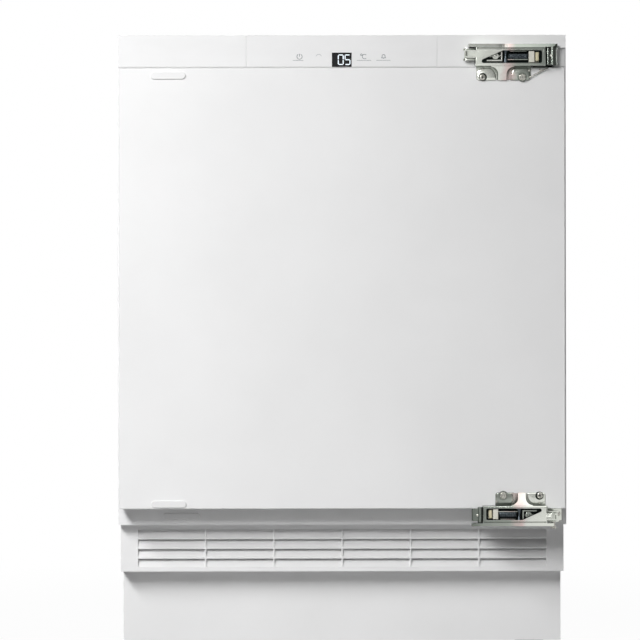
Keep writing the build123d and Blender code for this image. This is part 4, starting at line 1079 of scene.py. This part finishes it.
@dataclass
class SeamTrim:
    """Lips behind the joints of the fascia, which close them a little below the surface."""

    sunk: float = 0.8
    depth: float = 4.0
    notch_depth: float = 6.0
    notch_height: float = 24.4
    clearance: float = 0.3
    wall: float = 1.5
    wall_low: float = 0.5
    wall_inset: float = 0.6

    def build(self) -> None:
        """Makes the lips between the mouldings, the one above the door and the notch's wall."""
        low, high = (Vector(corner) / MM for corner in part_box("control_panel"))
        door_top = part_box("door_panel")[1][2] / MM
        left_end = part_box("fascia_left")[1][0] / MM
        right_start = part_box("fascia_right")[0][0] / MM
        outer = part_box("fascia_left")[0][0] / MM
        front = low.y + self.sunk
        lips = Shape()
        for x0, x1 in ((left_end, low.x), (high.x, right_start)):
            lips.box((x0, front, low.z), (x1, front + self.depth, high.z))
        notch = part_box("upper_hinge_bracket")[0][0] / MM
        lips.box((outer, front, door_top + self.clearance), (notch, front + self.depth, low.z))
        lips.piece("seam_lips", Body.CABINET, WHITE_ABS, "white_plastic")
        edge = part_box("upper_hinge_bracket")[1][0] / MM
        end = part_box("fascia_right")[1][0] / MM
        wall = Shape()
        back = low.y + self.notch_depth
        near = (edge + self.clearance, back, low.z + self.wall_low)
        wall.box(near, (end - self.wall_inset, back + self.wall, low.z + self.notch_height))
        wall.piece("notch_wall", Body.CABINET, WHITE_ABS, "white_plastic")


@dataclass(frozen=True)
class HingeSeat:
    """Where one hinge sits on the door, read from its frame's box."""

    x: float
    z: float
    y: float
    size: float
    sign: float

    @classmethod
    def of(cls, node: str, sign: float, size: float) -> "HingeSeat":
        """Finds the seat of a hinge.

        Args:
            node: CAD node of its frame.
            sign: 1 for the hinge as drawn, -1 for the one turned by half a turn.
            size: Its scale against the hinge as drawn.

        Returns:
            The seat.
        """
        top, past = 29.2, 6.4
        low, high = (Vector(corner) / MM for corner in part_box(node))
        if sign > 0:
            return cls(high.x - past * size, high.z - top * size, high.y, size, sign)
        return cls(low.x + past * size, low.z + top * size, high.y, size, sign)

    def place(self, along: float, up: float, out: float) -> Point:
        """Point from its distance along and up the hinge and out of the door's face."""
        return (
            self.x - self.sign * along * self.size,
            self.y - out,
            self.z + self.sign * up * self.size,
        )


@dataclass
class HingeDress:
    """Rounded stampings of both hinges and the small parts in their windows and on their tabs."""

    edge: float = 0.45
    small_edge: float = 0.25
    sheet: float = 1.6
    front: float = 16.0
    axis_out: float = 8.0
    groove: tuple[float, float] = (22.4, 24.4)
    strip: tuple[float, float] = (24.4, 29.4)
    slopes: tuple[Flat, ...] = (
        (-8.0, 1.5),
        (56.0, 1.5),
        (60.0, 1.3),
        (64.0, 1.0),
        (68.0, 0.7),
        (72.0, 0.5),
        (113.0, 0.5),
    )
    groove_reach: tuple[float, float] = (11.6, 101.0)
    groove_depth: float = 0.9
    boss_centre: Flat = (42.0, -10.6)
    boss_r: float = 12.4
    boss_tab: tuple[float, float, float, float] = (29.6, 57.0, -17.7, -1.8)
    knuckle: Point = (6.2, 1.6, 10.2)
    knuckle_r: float = 3.3
    knuckle_height: float = 23.0
    # dark disc under the small screw, set a little off its centre so that it shows as a crescent: painted
    # shadow of the dimple round its head
    screw_shadow_centre: Flat = (92.4, -13.9)
    screw_shadow_r: float = 5.3
    pad_centre: Flat = (88.5, -14.0)
    pad_r: float = 13.4
    pad_tab: tuple[float, float, float, float] = (73.8, 100.2, -17.7, -1.8)
    pad_sides: int = 48
    raised: float = 0.6
    sill: Block = ((55.0, -17.6, 0.1), (75.0, -0.6, 1.3))
    apart: float = 1e-4
    nub_r: float = 1.7
    nub_spots: tuple[Flat, ...] = ((92.8, -3.6), (30.6, -5.2))
    dome_spot: Flat = (2.0, 13.6)
    dome_rise: float = 5.1
    link_foot: Block = ((12.6, -6.6, 1.0), (17.2, -3.6, 3.4))
    inner_plate: Block = ((12.0, 2.2, 2.5), (100.0, 26.8, 3.3))
    inner_stop: Block = ((84.0, 4.0, 3.3), (98.0, 9.0, 7.0))
    rods: tuple[Point, ...] = ((8.3, 33.0, 60.0), (19.6, 35.0, 57.0))
    rod_out: float = 12.2
    rod_r: float = 0.7
    link: tuple[Point, ...] = (
        (33.0, -16.4, 1.2),
        (29.5, -14.0, 2.8),
        (26.0, -12.2, 3.0),
        (9.0, -3.8, 3.0),
        (6.6, -2.6, 2.2),
        (5.6, -2.1, 0.2),
    )
    link_r: float = 0.75
    cam_centre: Flat = (76.0, 13.4)
    cam_r: float = 4.6
    cam_out: float = 8.5
    slider: tuple[float, float, float, float] = (18.0, 32.0, 4.5, 19.5)
    slider_out: tuple[float, float] = (2.6, 13.9)
    coil_start: float = 33.0
    coil_end: float = 59.0
    coil_r: float = 5.2
    coil_up: float = 12.6
    wire_r: float = 0.75
    coil_pitch: float = 2.6
    coil_gap: float = 0.7
    turn_steps: int = 16

    def seats(self) -> list[tuple[str, HingeSeat, Finish]]:
        """Name, seat and steel of each hinge."""
        return [
            ("upper", HingeSeat.of("upper_hinge_frame", 1.0, 0.986), HINGE_STEEL),
            ("lower", HingeSeat.of("lower_hinge_frame", -1.0, 0.907), LOWER_HINGE_STEEL),
        ]

    def block(self, shape: Shape, seat: HingeSeat, low: Point, high: Point) -> None:
        """Adds a box between two points that are given along, up and out of a hinge."""
        one, two = seat.place(*low), seat.place(*high)
        shape.box(
            tuple(min(pair) for pair in zip(one, two)), tuple(max(pair) for pair in zip(one, two))
        )

    def stamping(self, place: str, seat: HingeSeat, steel: Finish) -> None:
        """Frame of a hinge with rounded edges, a drawn groove and a top strip that slopes back.

        Args:
            place: Which hinge it is.
            seat: Its seat.
            steel: Its finish.
        """
        slot = "plated_hinge_steel"
        name = f"{place}_hinge_stamping"
        made = softened(f"{place}_hinge_frame", name, Body.DOOR, steel, slot, self.edge)
        cutter = Shape()
        start, end = self.groove_reach
        low, high = self.groove
        near = (start, low, self.front - self.groove_depth)
        self.block(cutter, seat, near, (end, high, self.front + 1.0))
        carve(made, cutter, f"{place}_groove")
        wedge = Shape()
        low, high = self.strip
        out = self.front
        rings = []
        for along, slope in self.slopes:
            section = ((low, out), (high, out - slope), (high, out + 1.0), (low, out + 1.0))
            rings.append([seat.place(along, up, reach) for up, reach in section])
        wedge.face_loop(rings)
        carve(made, wedge, f"{place}_slope")

    def pad(
        self, seat: HingeSeat, shape: Shape, centre: Flat, radius: float, tab: tuple[float, ...]
    ) -> None:
        """Adds a low round boss, cut off at the edges of its tab.

        Args:
            seat: Hinge that it belongs to.
            shape: Mesh that it goes to.
            centre: Along and up of its centre.
            radius: Its radius.
            tab: Smallest and largest along, then up, of the flat of the tab.
        """
        rings = []
        for shrink, rise in ((0.0, -0.4), (0.0, 0.1), (0.5, self.raised * 0.8), (1.1, self.raised)):
            ring = []
            for i in range(self.pad_sides):
                angle = 2 * math.pi * i / self.pad_sides
                along = centre[0] + (radius - shrink) * math.cos(angle)
                up = centre[1] + (radius - shrink) * math.sin(angle)
                along = min(max(along, tab[0] + shrink), tab[1] - shrink)
                up = min(max(up, tab[2] + shrink), tab[3] - shrink)
                # points that were cut off at one corner stay a hair apart
                ring.append(seat.place(along + i * self.apart, up, self.sheet + rise))
            rings.append(ring)
        shape.face_loop(rings)

    def tabs(self, place: str, seat: HingeSeat, steel: Finish) -> None:
        """Bosses, knuckle, nubs, a dark disc of painted shadow under the small screw and, on the upper
        hinge only, the thin link.

        Args:
            place: Which hinge it is.
            seat: Its seat.
            steel: Its finish.
        """
        slot = "plated_hinge_steel"
        bosses = Shape()
        self.pad(seat, bosses, self.boss_centre, self.boss_r, self.boss_tab)
        self.pad(seat, bosses, self.pad_centre, self.pad_r, self.pad_tab)
        self.block(bosses, seat, *self.sill)
        rise = self.knuckle_height * seat.size
        knuckle = [
            (AXIS_R, 0.0),
            (self.knuckle_r - 0.5, 0.0),
            (self.knuckle_r, 0.5),
            (self.knuckle_r, rise - 0.5),
            (self.knuckle_r - 0.5, rise),
            (AXIS_R, rise),
        ]
        bosses.lathe(knuckle, seat.place(*self.knuckle), (0, 0, seat.sign), 32)
        bosses.piece(f"{place}_tab_bosses", Body.DOOR, steel, slot)
        nubs = Shape()
        r = self.nub_r
        nub = [(AXIS_R, 1.05), (r * 0.7, 0.9), (r, 0.5), (r, 0.0), (AXIS_R, 0.0)]
        for spot in self.nub_spots:
            nubs.lathe(nub, seat.place(*spot, self.sheet + self.raised * 0.8), OUTWARD, 20)
        dome = [(AXIS_R, 1.1), (0.9, 0.9), (1.6, 0.35), (1.7, 0.0), (1.7, -0.6)]
        dome_out = self.axis_out + self.dome_rise
        nubs.lathe(dome, seat.place(*self.dome_spot, dome_out), OUTWARD, 20)
        nubs.piece(f"{place}_hinge_nubs", Body.DOOR, SCREW_STEEL, "screw_steel")
        # painted shadow: dark disc under the small screw's head, standing for the shade of its dimple
        ring = Shape()
        shadow_dish = [(AXIS_R, 0.0), (self.screw_shadow_r, 0.0), (self.screw_shadow_r, 0.1), (AXIS_R, 0.25)]
        ring.lathe(shadow_dish, seat.place(*self.screw_shadow_centre, self.sheet + self.raised), OUTWARD, 40)
        ring.piece(f"{place}_screw_shadow_ring", Body.DOOR, OILED_STEEL, "dark_steel")
        if seat.sign < 0:
            return
        link = Shape()
        link.sweep([seat.place(*point) for point in self.link], self.link_r, 10)
        self.block(link, seat, *self.link_foot)
        link.piece(f"{place}_hinge_link", Body.DOOR, SCREW_STEEL, "screw_steel", 0.3)

    def window_parts(self) -> None:
        """Nylon slider with its beige damper, cams, springs and inner plate in both windows."""
        nylon, damper, cams, springs, links = Shape(), Shape(), Shape(), Shape(), Shape()
        for _, seat, _ in self.seats():
            self.slider_blocks(nylon, damper, seat)
            r = self.cam_r
            rim = [
                (AXIS_R, 2.6),
                (1.5, 2.6),
                (1.7, 2.2),
                (r - 0.4, 2.2),
                (r, 1.8),
                (r, 0.0),
                (AXIS_R, 0.0),
            ]
            cams.lathe(rim, seat.place(*self.cam_centre, self.cam_out), OUTWARD, 28)
            along, up = self.cam_centre
            arm = (along - 6.0, up - 1.4, self.cam_out)
            tip = (along + 8.0, up + 1.4, self.cam_out + 1.4)
            self.block(cams, seat, arm, tip)
            self.coil(springs, seat)
            self.block(links, seat, *self.inner_plate)
            self.block(links, seat, *self.inner_stop)
            for up, start, end in self.rods:
                bar = [seat.place(along, up, self.rod_out) for along in (start, end)]
                cams.sweep(bar, self.rod_r, 10)
        links.piece("hinge_inner_links", Body.DOOR, OILED_STEEL, "dark_steel", 0.2)
        made = nylon.piece("hinge_slider_blocks", Body.DOOR, HINGE_NYLON, "hinge_plastic", 0.9)
        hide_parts("hinge_sliders")
        damper.piece("hinge_damper_blocks", Body.DOOR, DAMPER_NYLON, "hinge_plastic", 1.2)
        cams.piece("hinge_cams", Body.DOOR, HINGE_STEEL, "plated_hinge_steel", 0.2)
        springs.piece("hinge_spring_coils", Body.DOOR, DARK_STEEL, "dark_steel")

    def slider_blocks(self, nylon: Shape, damper: Shape, seat: HingeSeat) -> None:
        """Adds the stepped slider of one hinge and the damper beside it."""
        start, end, low, high = self.slider
        back, front = self.slider_out
        middle = (start + end) / 2
        step = back + 2.2
        key = (middle + 1.2, low + 3.0, front - 0.6), (end - 1.6, low + 6.4, front + 0.35)
        pad = (start + 0.3, low + 1.6, step), (middle - 1.8, high - 1.2, front - 0.5)
        self.block(nylon, seat, (middle - 0.6, low, back), (end, high, front))
        self.block(nylon, seat, (start, low, back), (middle - 0.6, high, step))
        self.block(nylon, seat, *key)
        self.block(damper, seat, *pad)

    def coil(self, shape: Shape, seat: HingeSeat) -> None:
        """Adds the coil spring that lies over a spring barrel.

        Args:
            shape: Mesh that it goes to.
            seat: Hinge that it belongs to.
        """
        turns = (self.coil_end - self.coil_start) * seat.size / self.coil_pitch
        steps = int(turns * self.turn_steps)
        out = self.coil_gap + self.sheet + self.coil_r + self.wire_r
        path = []
        for i in range(steps + 1):
            angle = 2 * math.pi * turns * i / steps
            along = self.coil_start + (self.coil_end - self.coil_start) * i / steps
            x, y, z = seat.place(along, self.coil_up, out)
            path.append((x, y + self.coil_r * math.cos(angle), z + self.coil_r * math.sin(angle)))
        shape.sweep(path, self.wire_r, 8)

    def build(self) -> None:
        """Makes both hinges and both brackets."""
        slot = "plated_hinge_steel"
        for place, seat, steel in self.seats():
            self.stamping(place, seat, steel)
            self.tabs(place, seat, steel)
            node = f"{place}_hinge_bracket"
            softened(node, f"{place}_cabinet_bracket", Body.CABINET, steel, slot, self.edge)
        plates = "hinge_angle_plates", "hinge_angle_stampings"
        softened(*plates, Body.DOOR, HINGE_STEEL, slot, self.small_edge)
        self.window_parts()


def carve(piece: bpy.types.Object, cutter: Shape, name: str) -> None:
    """Cuts a shape out of a piece that has rounded edges, ahead of the rounding.

    Args:
        piece: Object that is cut.
        cutter: Shape that goes.
        name: Name of the cut.
    """
    bmesh.ops.recalc_face_normals(cutter.mesh, faces=cutter.mesh.faces)
    data = bpy.data.meshes.new(name)
    cutter.mesh.to_mesh(data)
    cutter.mesh.free()
    tool = bpy.data.objects.new(name, data)
    bpy.context.scene.collection.objects.link(tool)
    cut = piece.modifiers.new(name, "BOOLEAN")
    cut.operation = "DIFFERENCE"
    cut.solver = "EXACT"
    cut.object = tool
    rounding = piece.modifiers["rounded_edges"]
    width, angle = rounding.width, rounding.angle_limit
    piece.modifiers.remove(rounding)
    depsgraph = bpy.context.evaluated_depsgraph_get()
    result = bpy.data.meshes.new_from_object(piece.evaluated_get(depsgraph))
    piece.modifiers.clear()
    piece.data = result
    bpy.data.objects.remove(tool)
    round_edges(piece, width, angle)


@dataclass
class SoftGasket:
    """Bellows of the door gasket with its magnet strip, in the place of the plain CAD ring."""

    smooth: float = 50.0
    profile: tuple[Flat, ...] = (
        (0.0, 0.0),
        (20.0, 0.0),
        (20.0, 1.6),
        (18.4, 2.4),
        (15.2, 2.4),
        (13.6, 3.1),
        (16.0, 4.2),
        (14.4, 5.3),
        (16.2, 6.3),
        (15.6, 7.6),
        (10.0, 7.7),
        (4.6, 7.6),
        (4.0, 6.3),
        (5.8, 5.3),
        (4.2, 4.2),
        (6.4, 3.1),
        (4.8, 2.4),
        (1.6, 2.4),
        (0.0, 1.6),
    )

    def build(self) -> None:
        """Sweeps the profile round the back of the door."""
        low, high = (Vector(corner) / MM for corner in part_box("door_gasket"))
        rings = []
        for x, z, dx, dz in (
            (low.x, low.z, 1, 1),
            (high.x, low.z, -1, 1),
            (high.x, high.z, -1, -1),
            (low.x, high.z, 1, -1),
        ):
            ring = [(x + dx * run, low.y + back, z + dz * run) for run, back in self.profile]
            rings.append(ring)
        bellows = Shape()
        bellows.face_loop(rings, closed=True)
        name, slot = "door_gasket_bellows", "gasket_vinyl"
        made = bellows.piece(name, Body.DOOR, GASKET_VINYL, slot, smooth=self.smooth)
        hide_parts("door_gasket")


@dataclass
class ThreadedFeet:
    """Adjustable feet with a ribbed disc, a hexagon and a threaded stud."""

    disc_height: float = 8.0
    hex_across: float = 17.0
    stud_r: float = 5.0
    pitch: float = 2.0
    thread: float = 0.7
    hub_r: float = 11.5
    ribs: int = 12
    rib_r: float = 0.9
    clearance: float = 0.3
    smooth: float = 40.0

    def profile(self, height: float, start: float) -> list[Flat]:
        """Radius and height of each ring of the stud.

        Args:
            height: Top of the stud.
            start: Top of the hexagon.

        Returns:
            Rings from the bottom up.
        """
        rings = [(AXIS_R, start - 1.0), (self.stud_r - self.thread, start - 1.0)]
        level = start
        while level + self.pitch < height - 1.2:
            rings.append((self.stud_r - self.thread, level + 0.2))
            rings.append((self.stud_r, level + self.pitch / 2 - 0.1))
            rings.append((self.stud_r, level + self.pitch / 2 + 0.1))
            level += self.pitch
        rings += [(self.stud_r - self.thread, height - 1.0), (self.stud_r - 1.6, height), (AXIS_R, height)]
        return rings

    def foot(self, x: float, y: float, radius: float, height: float, top: float) -> Shape:
        """Makes one foot: ribbed disc, hexagon and stud.

        Args:
            x: X of its axis.
            y: Y of its axis.
            radius: Radius of the disc.
            height: Top of the stud.
            top: Top of the hexagon.

        Returns:
            The mesh of the foot.
        """
        foot = Shape()
        base = (x, y, 0.0)
        flat = self.disc_height
        disc = [
            (AXIS_R, 0.0),
            (radius - 1.4, 0.0),
            (radius - 0.8, 0.5),
            (radius, 1.0),
            (radius, flat - 2.4),
            (radius - 0.7, flat - 0.9),
            (radius - 2.2, flat),
            (self.hub_r + 1.5, flat),
            (self.hub_r, flat + 1.2),
            (AXIS_R, flat + 1.2),
        ]
        foot.lathe(disc, base, UPWARD, 40)
        centre = Vector((x, y, flat - 0.4))
        for i in range(self.ribs):
            angle = 2 * math.pi * i / self.ribs
            ridge = Vector((math.cos(angle), math.sin(angle), 0.0))
            ends = [tuple(centre + ridge * reach) for reach in (self.hub_r - 1.0, radius - 3.2)]
            foot.sweep(ends, self.rib_r, 8)
        corner = self.hex_across / math.sqrt(3)
        nut = [
            (AXIS_R, flat),
            (corner, flat),
            (corner, top - 0.8),
            (corner - 1.0, top),
            (AXIS_R, top),
        ]
        foot.lathe(nut, base, UPWARD, 6)
        foot.lathe(self.profile(height, top), base, UPWARD, 24)
        return foot

    def build(self) -> None:
        """Makes the four feet in the places of their CAD nodes."""
        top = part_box("base_pan")[0][2] / MM - self.clearance
        for body in Body:
            if not body.value.endswith("_foot"):
                continue
            node = "foot_" + body.value.removesuffix("_foot")
            low, high = (Vector(corner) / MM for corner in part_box(node))
            middle = (low + high) / 2
            foot = self.foot(middle.x, middle.y, (high.x - low.x) / 2, high.z, top)
            made = foot.piece(f"{node}_threaded", body, GREY_ABS, "grey_plastic", smooth=self.smooth)
            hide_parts(node)


def main() -> None:
    """Builds the studio, the finishes and the pieces in order."""
    logging.basicConfig(level=logging.INFO, format="%(name)s %(message)s")
    Studio().build()
    dress_nodes()
    ControlMarks().build()
    SeamTrim().build()
    HingeDress().build()
    SoftGasket().build()
    ThreadedFeet().build()


if __name__ == "__main__":
    main()
